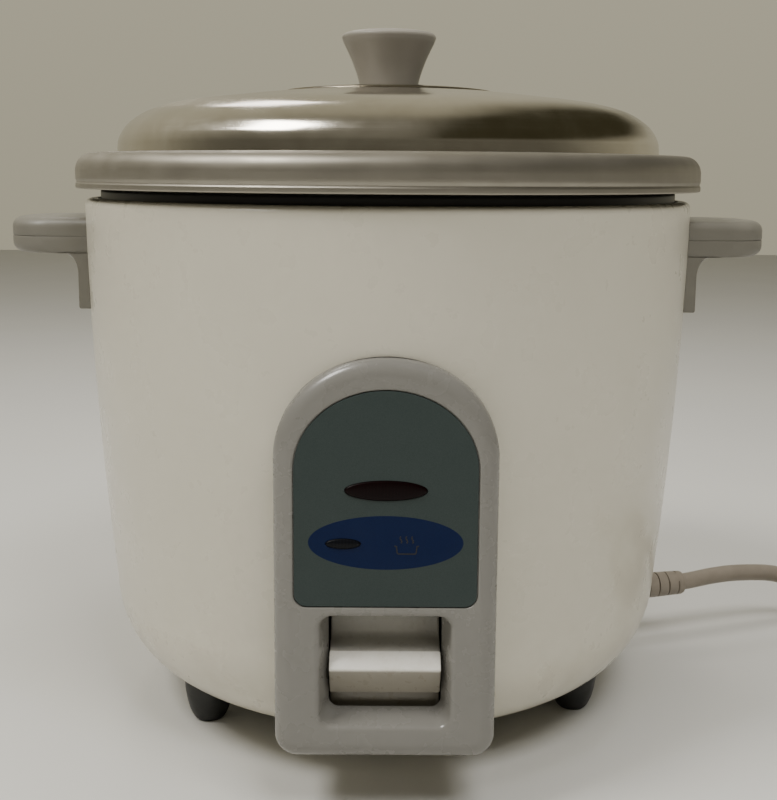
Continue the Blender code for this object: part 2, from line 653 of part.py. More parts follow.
def make_lever():
    rock = pivot("lever_press_origin", (0, PIVOT_Y, PIVOT_Z))
    strip_end = -118.0
    arm = box(
        "link_arm",
        (-ARM_HALF, strip_end, ARM_Z),
        (ARM_HALF, 6.5, ARM_Z + ARM_THICK),
        "galvanised",
        parent=rock,
    )
    tab = box("arm_tab_guide", (ARM_HALF - 2, -78, ARM_Z), (20, -72, ARM_Z + ARM_THICK), None)
    hub_ends = ((-ARM_HALF, PIVOT_Y, PIVOT_Z), (ARM_HALF, PIVOT_Y, PIVOT_Z))
    hub = rod("arm_hub_guide", *hub_ends, 3.4, None, 16)
    through = ((-15, PIVOT_Y, PIVOT_Z), (15, PIVOT_Y, PIVOT_Z))
    bore = rod("arm_bore_cut", *through, PIN_R + GAP, None)
    fork = box("arm_fork_cut", (-2.9, -5.5, 38), (2.9, 10, 48), None)
    boolean(arm, tab, "UNION")
    boolean(arm, hub, "UNION")
    boolean(arm, bore)
    boolean(arm, fork)

    centre = (PIVOT_Y, PIVOT_Z)
    # The shield is an arc about the pin; the bar stands out of it through the panel's recess.
    inner = arc(centre, (SHIELD_R - 2,) * 2, 184, 143, 8)
    above = arc(centre, (SHIELD_R,) * 2, 143, 158, 4)
    below = arc(centre, (SHIELD_R,) * 2, 170, 184, 3)
    bar = [(-131.8, 65.4), (-132.6, 66.0), (RIDGE_Y, RIDGE_Z + 0.5), (RIDGE_Y, RIDGE_Z - 0.5)]
    bar += [(-132.6, 50.2), (-131.8, 50.8)]
    outline = inner + above + bar + below
    sections = [[(x, y, z) for y, z in outline] for x in (-LEVER_HALF, LEVER_HALF)]
    lever = lofted("switch_lever", sections, "white_plastic", parent=rock)
    socket = box("lever_socket_guide", (-11, -124.6, 38.6), (11, -106, 47), None)
    slot = box(
        "lever_slot_cut",
        (-ARM_HALF - GAP, strip_end - GAP, ARM_Z - GAP),
        (ARM_HALF + GAP, -100, ARM_Z + ARM_THICK + GAP),
        None,
    )
    boolean(lever, socket, "UNION")
    boolean(lever, slot)

    ear_in, ear_out = 10.5, 12.0
    top = STRAP_Z + STRAP_THICK
    bracket = box("lever_bracket", (-ear_out, -72, 26), (ear_out, -54, top), "galvanised")
    boolean(bracket, box("bracket_gap_cut", (-ear_in, -80, 20), (ear_in, -50, STRAP_Z), None))
    boolean(bracket, box("bracket_front_cut", (-15, -80, 20), (15, -66, STRAP_Z), None))
    boolean(bracket, rod("bracket_bore_cut", *through, PIN_R + GAP, None))
    head_out, head_in = ear_out + 1.5, ear_out + GAP
    pin = [(0, -head_out), (2.6, -head_out), (2.6, -head_in), (PIN_R, -head_in)]
    pin += [(PIN_R, head_in), (2.6, head_in), (2.6, head_out), (0, head_out)]
    along_x = Vector((1, 0, 0)).to_track_quat("Z", "Y").to_matrix()
    turned("lever_pin", pin, "spring_steel", steps=12, at=(0, PIVOT_Y, PIVOT_Z), turn=along_x)


def make_switch():
    left, top = 14.0, 38.5
    plunger_at = (17.2, -75.0)
    block = box("micro_switch", (left, -84, 20), (left + 10, -60, top), "black_plastic")
    well = rod("plunger_well_cut", (*plunger_at, 30), (*plunger_at, 45), 2.1, None)
    boolean(block, well)
    press = pivot("plunger_slide_origin", (*plunger_at, top))
    stem = ((*plunger_at, 33.5), (*plunger_at, ARM_Z - GAP))
    rod("switch_plunger", *stem, 1.8, "white_plastic", parent=press)


# ---------------------------------------------------------------- front panel


def make_panel(body_clearance):
    back = -100.0
    rounding = []
    for i in range(4):
        a = math.radians(30 * i)
        rounding.append((PANEL_EDGE * (1 - math.sin(a)), PANEL_Y + PANEL_EDGE * (1 - math.cos(a))))
    sections = [panel_section(inset, y) for inset, y in rounding] + [panel_section(0, back)]
    housing = lofted("panel_housing", sections, "panel_plastic")

    inner_y = PANEL_Y + PANEL_WALL
    cavity = lofted(
        "panel_cavity_cut",
        [
            panel_section(PANEL_EDGE, inner_y),
            panel_section(PANEL_WALL, inner_y + 3),
            panel_section(PANEL_WALL, -90),
        ],
        None,
    )
    boolean(housing, cavity)

    front, rear = PANEL_Y - 1, -129.4
    block_low, block_high = (-27.2, 34.8), (27.2, 83.2)
    block = lofted(
        "recess_block_guide",
        [rounded_rectangle(block_low, block_high, 3, y) for y in (PANEL_Y + 1.2, rear)],
        None,
    )
    boolean(housing, block, "UNION")
    slope = 6.4  # rise of the ledge below the lever, from the panel's face to the recess's floor
    mouth = (-RECESS_HALF - 0.2, RECESS_LOW_Z - 0.7), (RECESS_HALF + 0.2, RECESS_TOP_Z)
    sections = [rounded_rectangle(*mouth, 5, front)]
    for half, y in ((23.2, rear - 1), (23.1, rear + 5)):
        corners = (-half, RECESS_LOW_Z + slope), (half, RECESS_TOP_Z - 0.5)
        sections.append(rounded_rectangle(*corners, 4, y))
    recess = lofted("recess_cut", sections, None)
    boolean(housing, recess)
    label_floor = PANEL_Y + 1.3
    pocket = lofted("label_pocket_cut", [label_section(GAP, y) for y in (front, label_floor)], None)
    boolean(housing, pocket)
    for name, lens in (("warm", WARM_LENS), ("cook", COOK_LENS)):
        through = [ellipse_section(lens, GAP, y) for y in (front, inner_y + 2)]
        boolean(housing, lofted(f"{name}_housing_hole_cut", through, None))
    boolean(housing, body_clearance)

    plate_y = (label_floor - GAP - 0.8, label_floor - GAP)
    label = lofted("label_plate", [label_section(0, y) for y in plate_y], "label_film")
    for name, lens in (("warm", WARM_LENS), ("cook", COOK_LENS)):
        through = [ellipse_section(lens, GAP, y) for y in (front, inner_y)]
        boolean(label, lofted(f"{name}_label_hole_cut", through, None))

    flange = inner_y + GAP
    lenses = (("warm_lens", WARM_LENS, "red_lens"), ("cook_lens", COOK_LENS, "dark_lens"))
    for name, lens, finish in lenses:
        steps = ((-1.2, PANEL_Y - 0.5), (-0.3, PANEL_Y - 0.25), (0.0, PANEL_Y), (0.0, flange))
        steps += ((1.5, flange), (1.5, flange + 1))
        lofted(name, [ellipse_section(lens, grow, y) for grow, y in steps], finish)


def label_section(grow, y):
    half = LABEL_HALF + grow
    return arch(half, LABEL_LOW_Z - grow, LABEL_SPRING_Z, LABEL_ARCH + grow, 4.5 + grow, y)


def make_lamps():
    tray = box("lamp_tray", (-26, -135.4, 100), (26, -123.4, 138), "white_plastic")
    boolean(tray, box("tray_hollow_cut", (-24.4, -140, 101.6), (24.4, -125, 136.4), None))
    for name, (x, z, *_) in (("warm_lamp", WARM_LENS), ("cook_lamp", COOK_LENS)):
        rod(name, (x - 6, -129.5, z), (x + 6, -129.5, z), 2.5, "lamp_glass")


# ---------------------------------------------------------------- wiring and cord


def make_wiring():
    under = STRAP_Z + STRAP_THICK
    box("terminal_block", (62, 12.5, under - 14), (84, 30, under), "ceramic")
    rod("thermal_fuse", (49.6, -36, 70), (49.6, -24, 70), 2.4, "ceramic")
    supply = ((73, 11.2, 72), (73, 5, 69), (66, -14, 56), (52, -45, 38), (38, -64, 28))
    supply += ((29, -70.5, 27), (25.2, -72, 27))
    tube("wire_supply", smooth_route(supply, 9), 1.3, "wire_pvc", bevel_resolution=1)
    heater = ((60.6, 20, 71), (58.5, 19, 67), (54.5, 17, 64.5), (50.6, 16.3, 65.5))
    heater += ((49.5, 16.07, 72.0),)
    tube("wire_heater", smooth_route(heater, 6), 1.3, "wire_pvc", bevel_resolution=1)
    fused = ((25.4, -80, 30), (31, -76, 33), (41, -62, 48), (48, -48, 64))
    fused += ((49.5, -41, 69), (49.6, -36.3, 70))
    tube("wire_switched", smooth_route(fused, 9), 1.3, "wire_pvc", bevel_resolution=1)


def make_cord():
    bore, neck, flange = CORD_R + 0.6, 6.4, 8.2
    outline = [(bore, -15), (flange, -15), (flange, -12.5), (neck, -12.5), (neck, 6.0)]
    ribs, pitch, groove = 5, 5.6, 5.6
    for i in range(ribs):
        start = 6.6 + pitch * i
        crest = 6.9 - 0.16 * i
        outline += [(crest, start), (crest, start + 4.2), (groove, start + 4.4), (groove, start + 5.4)]
    end = 6.6 + pitch * ribs
    outline += [(6.1, end), (6.1, end + 2.6), (groove, end + 3.6), (bore, end + 3.6)]
    turn = cord_direction().to_track_quat("Z", "Y").to_matrix()
    turned("cord_bush", outline, "cord_pvc", steps=12, at=cord_exit(), turn=turn)
    tube("power_cord", smooth_route(CORD_LEAD, 12), CORD_R, "cord_pvc")
    low, high, round_r = COIL_LOW_Z, COIL_HIGH_Z, 4.0
    ring = arc((COIL_OUT_R - round_r, low + round_r), (round_r,) * 2, -90, 0, 1)
    ring += arc((COIL_OUT_R - round_r, high - round_r), (round_r,) * 2, 0, 90, 1)
    ring += arc((COIL_IN_R + round_r, high - round_r), (round_r,) * 2, 90, 180, 1)
    ring += arc((COIL_IN_R + round_r, low + round_r), (round_r,) * 2, 180, 270, 1)
    turned("cord_coil", ring, "cord_pvc", steps=24, at=(*COIL_CENTRE, 0.0))
    make_tie()
    tube("cord_tail", smooth_route(CORD_TAIL, 12), CORD_R, "cord_pvc")
    make_plug()


def make_tie():
    """Flat loop round the coil's bundle of turns, at the front of the coil."""
    x, y = COIL_CENTRE
    middle = y - (COIL_IN_R + COIL_OUT_R) / 2
    reach = (COIL_OUT_R - COIL_IN_R) / 2 + 1.2

    def band(grow, half_width):
        low = (middle - reach - grow, COIL_LOW_Z - GAP - grow)
        high = (middle + reach + grow, COIL_HIGH_Z + GAP + grow)
        outline = rounded_rectangle(low, high, 2 + grow, 0)
        return [[(x + dx, py, pz) for py, _, pz in outline] for dx in (-half_width, half_width)]

    tie = lofted("coil_tie", band(TIE_THICK, 4), "black_plastic")
    boolean(tie, lofted("tie_gap_cut", band(0, 6), None))


def make_plug():
    x, y, z = CORD_TAIL[-1]
    front = y - GAP
    sections = []
    profile = ((0.0, 5.2, 4.3), (6.0, 5.6, 4.3), (12.0, 8.2, 4.4), (18.0, 12.4, 6.2))
    profile += ((34.0, 13.2, 6.6), (37.0, 12.4, 6.0))
    for along, half_x, half_z in profile:
        ring = arc((x, max(z, half_z + 0.2)), (half_x, half_z), 0, 360, 16)[:-1]
        sections.append([(px, front - along, pz) for px, pz in ring])
    lofted("plug_body", sections, "cord_pvc")
    end = front - profile[-1][0] - GAP
    height = profile[-1][2] + 0.4
    for i, side in enumerate((-9.5, 9.5)):
        rod(f"plug_pin_{i + 1}", (x + side, end, height), (x + side, end - 19, height), 2.0, "brass")


def main():
    for obj in list(bpy.data.objects):
        bpy.data.objects.remove(obj)
    surface = body_surface()
    swollen = offset(surface, -GAP)
    low, high = swollen[0][1], swollen[-1][1]
    body_clearance = turned("body_clearance_cut", [(0, low), *swollen, (0, high)], None)
    make_body()
    make_liner()
    make_base()
    make_feet(body_clearance)
    make_handles(body_clearance)
    make_pan()
    make_lid()
    make_hot_plate()
    make_thermostat()
    make_lever()
    make_switch()
    make_panel(body_clearance)
    make_lamps()
    make_wiring()
    make_cord()


main()
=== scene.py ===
import math

import bmesh
import bpy
from mathutils import Matrix, Vector


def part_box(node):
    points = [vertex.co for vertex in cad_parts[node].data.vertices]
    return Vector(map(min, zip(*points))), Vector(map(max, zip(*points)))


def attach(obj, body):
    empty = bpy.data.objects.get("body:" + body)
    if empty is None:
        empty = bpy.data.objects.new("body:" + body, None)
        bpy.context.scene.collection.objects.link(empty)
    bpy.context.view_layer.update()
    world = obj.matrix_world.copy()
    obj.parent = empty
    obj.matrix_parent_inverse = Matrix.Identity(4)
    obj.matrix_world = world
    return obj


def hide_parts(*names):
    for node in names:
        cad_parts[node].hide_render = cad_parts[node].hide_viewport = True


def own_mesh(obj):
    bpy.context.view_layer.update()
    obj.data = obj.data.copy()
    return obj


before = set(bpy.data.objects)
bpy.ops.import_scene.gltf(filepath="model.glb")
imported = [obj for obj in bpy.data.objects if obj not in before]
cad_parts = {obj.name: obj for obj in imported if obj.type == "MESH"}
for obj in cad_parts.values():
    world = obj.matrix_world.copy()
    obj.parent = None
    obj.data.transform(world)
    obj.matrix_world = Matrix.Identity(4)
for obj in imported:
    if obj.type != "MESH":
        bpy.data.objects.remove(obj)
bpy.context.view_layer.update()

# Shapes are made in millimetres and turned into metres when a mesh is made. Places come from the frame.
MM = 0.001
TURN_STEPS = 192


def limits(node):
    """Lowest and highest corner of a CAD node in millimetres."""
    low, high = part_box(node)
    return Vector(low) / MM, Vector(high) / MM


SHELL_LOW, SHELL_HIGH = limits("outer_body")
LINER_LOW, LINER_HIGH = limits("inner_liner")
PAN_LOW, PAN_HIGH = limits("inner_pan")
LID_LOW, LID_HIGH = limits("lid")
KNOB_LOW, KNOB_HIGH = limits("lid_knob")
PANEL_LOW, PANEL_HIGH = limits("panel_housing")
LABEL_LOW, LABEL_HIGH = limits("label_plate")
WARM_LOW, WARM_HIGH = limits("warm_lens")
COOK_LOW, COOK_HIGH = limits("cook_lens")
HANDLE_LOW, HANDLE_HIGH = limits("handle_right")
LEVER_LOW, LEVER_HIGH = limits("switch_lever")
PLATE_LOW, PLATE_HIGH = limits("hot_plate")
SENSOR_LOW, SENSOR_HIGH = limits("sensor_cap")
COIL_LOW, COIL_HIGH = limits("cord_coil")

SHELL_WALL = 0.8
HEEL_Z = 57.3
HEEL_RADIAL = 36.8
TAPER = 1.9
BARREL = 12.5
SHOULDER_R = 3.2
SEAT = 0.12  # gap where a piece is fitted on the shell
PANEL_FACE_Y = -140.3
LABEL_FACE_Y = -140.1
PLATE_X = 140.2  # outer face of a handle's plate


# ---------------------------------------------------------------- shapes


def arc(centre, radii, start, end, steps):
    """Points of an elliptical arc, angles in degrees."""
    points = []
    for i in range(steps + 1):
        a = math.radians(start + (end - start) * i / steps)
        points.append((centre[0] + radii[0] * math.cos(a), centre[1] + radii[1] * math.sin(a)))
    return points


def offset(points, distance):
    """The open outline moved to its left by distance, with mitred corners."""
    moved = []
    for i, point in enumerate(points):
        before = Vector(points[max(i - 1, 0)])
        after = Vector(points[min(i + 1, len(points) - 1)])
        here = Vector(point)
        first = (here - before).normalized() if i else (after - here).normalized()
        last = (after - here).normalized() if i < len(points) - 1 else first
        left = Vector((-first.y - last.y, first.x + last.x)).normalized()
        stretch = 1.0 / max(0.5, left.dot(Vector((-first.y, first.x))))
        moved.append(tuple(here + left * distance * stretch))
    return moved


def flowing(points, per_span=6):
    """A smooth curve through 2D or 3D points."""
    knots = [Vector(p) for p in points]
    knots = [2 * knots[0] - knots[1], *knots, 2 * knots[-1] - knots[-2]]
    curve = []
    for a, b, c, d in zip(knots, knots[1:], knots[2:], knots[3:]):
        for i in range(per_span):
            t = i / per_span
            bend = (2 * a - 5 * b + 4 * c - d) * t * t + (3 * b - a - 3 * c + d) * t * t * t
            curve.append(tuple(0.5 * (2 * b + (c - a) * t + bend)))
    curve.append(tuple(knots[-2]))
    return curve


def rounded(points, radius, steps=4):
    """An open outline whose inner corners are rounded, each by at most a third of its sides."""
    out = [points[0]]
    for before, here, after in zip(points, points[1:], points[2:]):
        a, b, c = Vector(before), Vector(here), Vector(after)
        cut = min(radius, (a - b).length / 3, (c - b).length / 3)
        start, end = b + (a - b).normalized() * cut, b + (c - b).normalized() * cut
        for i in range(steps + 1):
            t = i / steps
            out.append(tuple((1 - t) ** 2 * start + 2 * t * (1 - t) * b + t * t * end))
    out.append(points[-1])
    return out


def smooth_step(x):
    x = min(1.0, max(0.0, x))
    return x * x * (3 - 2 * x)


def finished(name, bm, material, body, replaced=(), sharp=32):
    """Makes an object of a bmesh in millimetres, on a body of the frame."""
    bmesh.ops.scale(bm, vec=(MM, MM, MM), verts=bm.verts)
    bmesh.ops.recalc_face_normals(bm, faces=bm.faces)
    mesh = bpy.data.meshes.new(name)
    bm.to_mesh(mesh)
    bm.free()
    mesh.shade_smooth()
    mesh.set_sharp_from_angle(angle=math.radians(sharp))
    mesh.materials.append(material)
    obj = bpy.data.objects.new(name, mesh)
    bpy.context.scene.collection.objects.link(obj)
    settle(obj, body, replaced)
    return obj


def settle(obj, body, replaced):
    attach(obj, body)
    if replaced:
        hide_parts(*replaced)


def turned_mesh(outline, steps=TURN_STEPS, centre=(0, 0), turn=None, at=None):
    """A bmesh of a closed (r, z) outline turned about Z."""
    bm = bmesh.new()
    on_axis = abs(outline[0][0]) < 1e-6 and abs(outline[-1][0]) < 1e-6
    rings = []
    for r, z in outline:
        if r < 1e-6:
            rings.append([bm.verts.new((0, 0, z))])
            continue
        ring = []
        for i in range(steps):
            a = math.tau * i / steps
            ring.append(bm.verts.new((r * math.cos(a), r * math.sin(a), z)))
        rings.append(ring)
    pairs = list(zip(rings, rings[1:]))
    if not on_axis:
        pairs.append((rings[-1], rings[0]))
    for low, high in pairs:
        for i in range(steps):
            j = (i + 1) % steps
            corners = (low[i % len(low)], low[j % len(low)], high[j % len(high)], high[i % len(high)])
            face = list(dict.fromkeys(corners))
            if len(face) > 2:
                bm.faces.new(face)
    if turn:
        bmesh.ops.transform(bm, matrix=turn.to_4x4(), verts=bm.verts)
    bmesh.ops.translate(bm, vec=Vector(at or (*centre, 0)), verts=bm.verts)
    return bm


def loft_into(bm, loops, caps=(True, True), closed=True):
    """Adds faces through loops of equal point counts and returns the loops of vertices."""
    rings = [[bm.verts.new(p) for p in loop] for loop in loops]
    count = len(rings[0])
    for low, high in zip(rings, rings[1:]):
        for i in range(count if closed else count - 1):
            j = (i + 1) % count
            bm.faces.new((low[i], low[j], high[j], high[i]))
    if caps[0]:
        bm.faces.new(rings[0][::-1])
    if caps[1]:
        bm.faces.new(rings[-1])
    return rings


def fill_between(bm, rings):
    """Fills the flat region between closed rings of vertices."""
    edges = []
    for ring in rings:
        for a, b in zip(ring, ring[1:] + ring[:1]):
            edges.append(bm.edges.get((a, b)) or bm.edges.new((a, b)))
    bmesh.ops.triangle_fill(bm, edges=edges, use_beauty=True, use_dissolve=False)


def bar_along(name, points, radius, material, body, replaced=(), sides=4):
    """Round bar along points in millimetres, as a curve with filled ends."""
    curve = bpy.data.curves.new(name, "CURVE")
    curve.dimensions = "3D"
    curve.bevel_depth = radius * MM
    curve.bevel_resolution = sides
    curve.use_fill_caps = True
    spline = curve.splines.new("POLY")
    spline.points.add(len(points) - 1)
    for target, point in zip(spline.points, points):
        target.co = (*(Vector(point) * MM), 1.0)
    spline.use_smooth = True
    curve.materials.append(material)
    obj = bpy.data.objects.new(name, curve)
    bpy.context.scene.collection.objects.link(obj)
    settle(obj, body, replaced)
    return obj


# ---------------------------------------------------------------- materials


class Nodes:
    """A material's node tree, with short ways to add what the finishes below share."""

    def __init__(self, name, colour, roughness, metallic=0.0, **sockets):
        self.material = bpy.data.materials.new(name)
        self.material.use_nodes = True
        self.tree = self.material.node_tree
        self.shader = self.tree.nodes["Principled BSDF"]
        self.colour = colour
        self.set("Base Color", (*colour, 1.0))
        self.set("Roughness", roughness)
        self.set("Metallic", metallic)
        for socket, value in sockets.items():
            self.set(socket.replace("_", " "), value)
        self.place = self.add("ShaderNodeTexCoord").outputs["Object"]
        self.height = None

    def set(self, socket, value):
        self.shader.inputs[socket].default_value = value

    def add(self, kind, **values):
        node = self.tree.nodes.new(kind)
        for key, value in values.items():
            setattr(node, key, value)
        return node

    def link(self, source, target):
        self.tree.links.new(source, target)

    def noise(self, size_mm, detail=3.0, roughness=0.5, place=None, distortion=0.0):
        node = self.add("ShaderNodeTexNoise")
        node.inputs["Scale"].default_value = 1.0 / (size_mm * MM)
        node.inputs["Detail"].default_value = detail
        node.inputs["Roughness"].default_value = roughness
        node.inputs["Distortion"].default_value = distortion
        self.link(place or self.place, node.inputs["Vector"])
        return node.outputs["Fac"]

    def speckle(self, size_mm):
        node = self.add("ShaderNodeTexVoronoi")
        node.inputs["Scale"].default_value = 1.0 / (size_mm * MM)
        self.link(self.place, node.inputs["Vector"])
        return node.outputs["Distance"]

    def ranged(self, source, low, high, from_low=0.3, from_high=0.7):
        node = self.add("ShaderNodeMapRange")
        node.clamp = True
        limits_of = {"From Min": from_low, "From Max": from_high, "To Min": low, "To Max": high}
        for socket, value in limits_of.items():
            node.inputs[socket].default_value = value
        self.link(source, node.inputs["Value"])
        return node.outputs["Result"]

    def math(self, operation, a, b=0.0):
        node = self.add("ShaderNodeMath", operation=operation)
        for socket, value in zip(node.inputs, (a, b)):
            if isinstance(value, (int, float)):
                socket.default_value = value
            else:
                self.link(value, socket)
        return node.outputs["Value"]

    def axes(self):
        node = self.add("ShaderNodeSeparateXYZ")
        self.link(self.place, node.inputs["Vector"])
        return node.outputs

    def mix(self, factor, first, second):
        node = self.add("ShaderNodeMix", data_type="RGBA")
        self.link(factor, node.inputs["Factor"])
        for socket, value in ((node.inputs["A"], first), (node.inputs["B"], second)):
            if isinstance(value, tuple):
                socket.default_value = (*value, 1.0)
            else:
                self.link(value, socket)
        return node.outputs["Result"]

    def paint(self, output):
        self.link(output, self.shader.inputs["Base Color"])

    def rough(self, output):
        self.link(output, self.shader.inputs["Roughness"])

    def mottle(self, size_mm, amount, detail=4.0):
        """Slow light and dark variation of the base colour."""
        dark = tuple(c * (1 - amount) for c in self.colour)
        light = tuple(min(1.0, c * (1 + amount)) for c in self.colour)
        output = self.mix(self.ranged(self.noise(size_mm, detail), 0.0, 1.0), dark, light)
        self.paint(output)
        return output

    def bump(self, height, depth_mm, strength=1.0):
        node = self.add("ShaderNodeBump")
        node.inputs["Distance"].default_value = depth_mm * MM
        node.inputs["Strength"].default_value = strength
        self.link(height, node.inputs["Height"])
        if self.height:
            self.link(self.height, node.inputs["Normal"])
        self.height = node.outputs["Normal"]
        self.link(self.height, self.shader.inputs["Normal"])

    def spun(self, line_mm=0.25):
        """Fine rings about Z, as a spun or turned sheet has them."""
        x, y, z = self.axes()
        squares = [self.math("MULTIPLY", c, c) for c in (x, y)]
        radius = self.math("SQRT", self.math("ADD", *squares))
        angle = self.math("ARCTAN2", y, x)
        node = self.add("ShaderNodeCombineXYZ")
        self.link(radius, node.inputs["X"])
        self.link(self.math("MULTIPLY", angle, 0.0006), node.inputs["Y"])
        self.link(z, node.inputs["Z"])
        return self.noise(line_mm, 4.0, 0.6, node.outputs["Vector"])


def srgb(r, g, b):
    """Linear colour of 8-bit sRGB values."""
    return tuple(((c / 255 + 0.055) / 1.055) ** 2.4 if c > 10 else c / 255 / 12.92 for c in (r, g, b))


def shell_paint():
    n = Nodes("shell_paint", srgb(210, 205, 189), 0.3, Coat_Weight=0.35, Coat_Roughness=0.12)
    z = n.axes()["Z"]
    stain = n.math("MULTIPLY", n.noise(34, 5.0, 0.62), n.noise(9, 4.0, 0.6))
    low = n.ranged(z, 1.0, 0.0, 0.02, 0.075)
    grime = n.math("MULTIPLY", n.ranged(stain, 0.0, 0.4, 0.2, 0.42), n.math("ADD", low, 0.1))
    base = n.mottle(60, 0.02)
    n.paint(n.mix(grime, base, srgb(182, 173, 157)))
    n.rough(n.ranged(n.noise(14, 5.0), 0.24, 0.38))
    n.bump(n.noise(2.1, 2.0), 0.02)
    n.bump(n.noise(0.5, 2.0), 0.003)
    return n.material


def grey_plastic(name="grey_plastic", colour=(133, 129, 123), roughness=0.4):
    n = Nodes(name, srgb(*colour), roughness)
    n.mottle(11, 0.035)
    n.rough(n.ranged(n.noise(5, 5.0), roughness - 0.06, roughness + 0.08))
    n.bump(n.speckle(0.55), 0.012)
    n.bump(n.noise(7, 3.0), 0.03)
    return n.material


def panel_plastic():
    n = Nodes("panel_plastic", srgb(124, 122, 117), 0.3, Coat_Weight=0.15, Coat_Roughness=0.1)
    dust = n.math("MULTIPLY", n.noise(3, 6.0, 0.7), n.noise(16, 4.0))
    n.paint(n.mix(n.ranged(dust, 0.0, 0.05, 0.22, 0.45), n.mottle(22, 0.015), srgb(114, 110, 101)))
    n.rough(n.ranged(n.noise(9, 5.0), 0.2, 0.34))
    n.bump(n.noise(1.1, 2.0), 0.003)
    return n.material


def label_film():
    """Printed film: a dark field with a blue oval round the cook lamp."""
    n = Nodes("label_film", srgb(53, 60, 58), 0.5, Specular_IOR_Level=0.15)
    x, _, z = n.axes()
    centre_z = 0.5 * (COOK_LOW.z + COOK_HIGH.z) * MM + 0.0004
    u = n.math("DIVIDE", x, 28.2 * MM)
    v = n.math("DIVIDE", n.math("SUBTRACT", z, centre_z), 10.1 * MM)
    oval = n.math("ADD", n.math("MULTIPLY", u, u), n.math("MULTIPLY", v, v))
    blue = n.ranged(oval, 1.0, 0.0, 0.985, 1.0)
    grain = n.noise(0.28, 2.0, 0.7)
    field = n.mix(n.ranged(grain, 0.0, 1.0), srgb(53, 62, 61), srgb(62, 71, 70))
    patch = n.mix(n.ranged(grain, 0.0, 1.0), srgb(7, 22, 56), srgb(12, 29, 66))
    n.paint(n.mix(blue, field, patch))
    n.rough(n.ranged(n.noise(12, 5.0), 0.42, 0.58))
    n.bump(grain, 0.004)
    n.bump(blue, 0.02)
    return n.material


def lens_plastic(name, colour):
    n = Nodes(name, srgb(*colour), 0.38, Specular_IOR_Level=0.12)
    wave = n.add("ShaderNodeTexWave", wave_type="BANDS", bands_direction="X")
    wave.inputs["Scale"].default_value = 260.0
    n.link(n.place, wave.inputs["Vector"])
    dark, light = (tuple(min(255, c * k) for c in colour) for k in (0.75, 1.3))
    n.paint(n.mix(wave.outputs["Fac"], srgb(*dark), srgb(*light)))
    n.bump(n.noise(1.5, 2.0), 0.01)
    return n.material


def white_plastic(name="white_plastic", shaded_below=0.0):
    """White moulding, with painted shade below a height given in millimetres."""
    n = Nodes(name, srgb(236, 233, 225), 0.3, Coat_Weight=0.2, Coat_Roughness=0.1)
    worn = n.math("MULTIPLY", n.noise(2.2, 6.0, 0.7), n.noise(9, 3.0))
    clean = n.mix(n.ranged(worn, 0.0, 0.3, 0.2, 0.42), srgb(238, 235, 227), srgb(204, 196, 180))
    z = n.axes()["Z"]
    # Below that height the colour is darkened: painted shade on the underside of the lever.
    painted_shade = n.ranged(z, 0.85, 0.0, (shaded_below - 1.0) * MM, shaded_below * MM)
    n.paint(n.mix(painted_shade, clean, srgb(126, 119, 105)))
    n.rough(n.ranged(n.noise(4, 4.0), 0.24, 0.4))
    n.bump(n.noise(0.9, 2.0), 0.005)
    return n.material


def stainless():
    n = Nodes("stainless", srgb(208, 202, 190), 0.16, 1.0, Anisotropic=0.55)
    tangent = n.add("ShaderNodeTangent", direction_type="RADIAL", axis="Z")
    n.link(tangent.outputs["Tangent"], n.shader.inputs["Tangent"])
    rings = n.spun(0.3)
    smear = n.noise(26, 5.0, 0.6, distortion=0.6)
    n.paint(n.mix(n.ranged(smear, 0.0, 1.0), srgb(199, 193, 180), srgb(216, 211, 200)))
    n.rough(n.math("ADD", n.ranged(smear, 0.09, 0.2), n.ranged(rings, 0.0, 0.07)))
    n.bump(rings, 0.0012)
    n.bump(n.noise(38, 2.0), 0.16)
    return n.material


def spun_aluminium(name="spun_aluminium", colour=(158, 153, 142), roughness=0.44, bright=0.05):
    n = Nodes(name, srgb(*colour), roughness, 0.85, Anisotropic=0.4)
    tangent = n.add("ShaderNodeTangent", direction_type="RADIAL", axis="Z")
    n.link(tangent.outputs["Tangent"], n.shader.inputs["Tangent"])
    rings = n.spun(0.22)
    n.mottle(18, bright)
    smear = n.ranged(n.noise(10, 5.0), roughness - 0.07, roughness + 0.05)
    n.rough(n.math("ADD", smear, n.ranged(rings, 0.0, 0.06)))
    n.bump(rings, 0.004)
    n.bump(n.noise(0.8, 3.0), 0.004)
    return n.material


def sheet_steel(name="sheet_steel", colour=(150, 151, 152), roughness=0.42):
    """Zinc-coated sheet with its crystal spangle."""
    n = Nodes(name, srgb(*colour), roughness, 0.9)
    cells = n.add("ShaderNodeTexVoronoi")
    cells.inputs["Scale"].default_value = 1 / (6 * MM)
    n.link(n.place, cells.inputs["Vector"])
    shade = n.add("ShaderNodeRGBToBW")
    n.link(cells.outputs["Color"], shade.inputs["Color"])
    light = tuple(min(1.0, c * 1.15) for c in n.colour)
    n.paint(n.mix(shade.outputs["Val"], tuple(c * 0.85 for c in n.colour), light))
    n.rough(n.ranged(shade.outputs["Val"], roughness - 0.08, roughness + 0.1, 0.0, 1.0))
    n.bump(n.noise(1.3, 4.0), 0.006)
    return n.material


def liner_steel():
    """Sheet steel whose folded rim is painted near-black and matte: painted shade of the gap under the pan's
    flange.
    """
    n = Nodes("liner_steel", srgb(150, 151, 152), 0.4, 0.9)
    z = n.axes()["Z"]
    # The rim's near-black, non-metallic colour is painted shade, standing for the shadow under the pan's
    # flange.
    rim = n.ranged(z, 0.0, 1.0, (LINER_HIGH.z - 8.0) * MM, (LINER_HIGH.z - 7.8) * MM)
    n.paint(n.mix(rim, n.mottle(9, 0.08), srgb(30, 28, 26)))
    n.link(n.math("SUBTRACT", 0.9, n.math("MULTIPLY", rim, 0.9)), n.shader.inputs["Metallic"])
    n.bump(n.spun(0.3), 0.004)
    return n.material


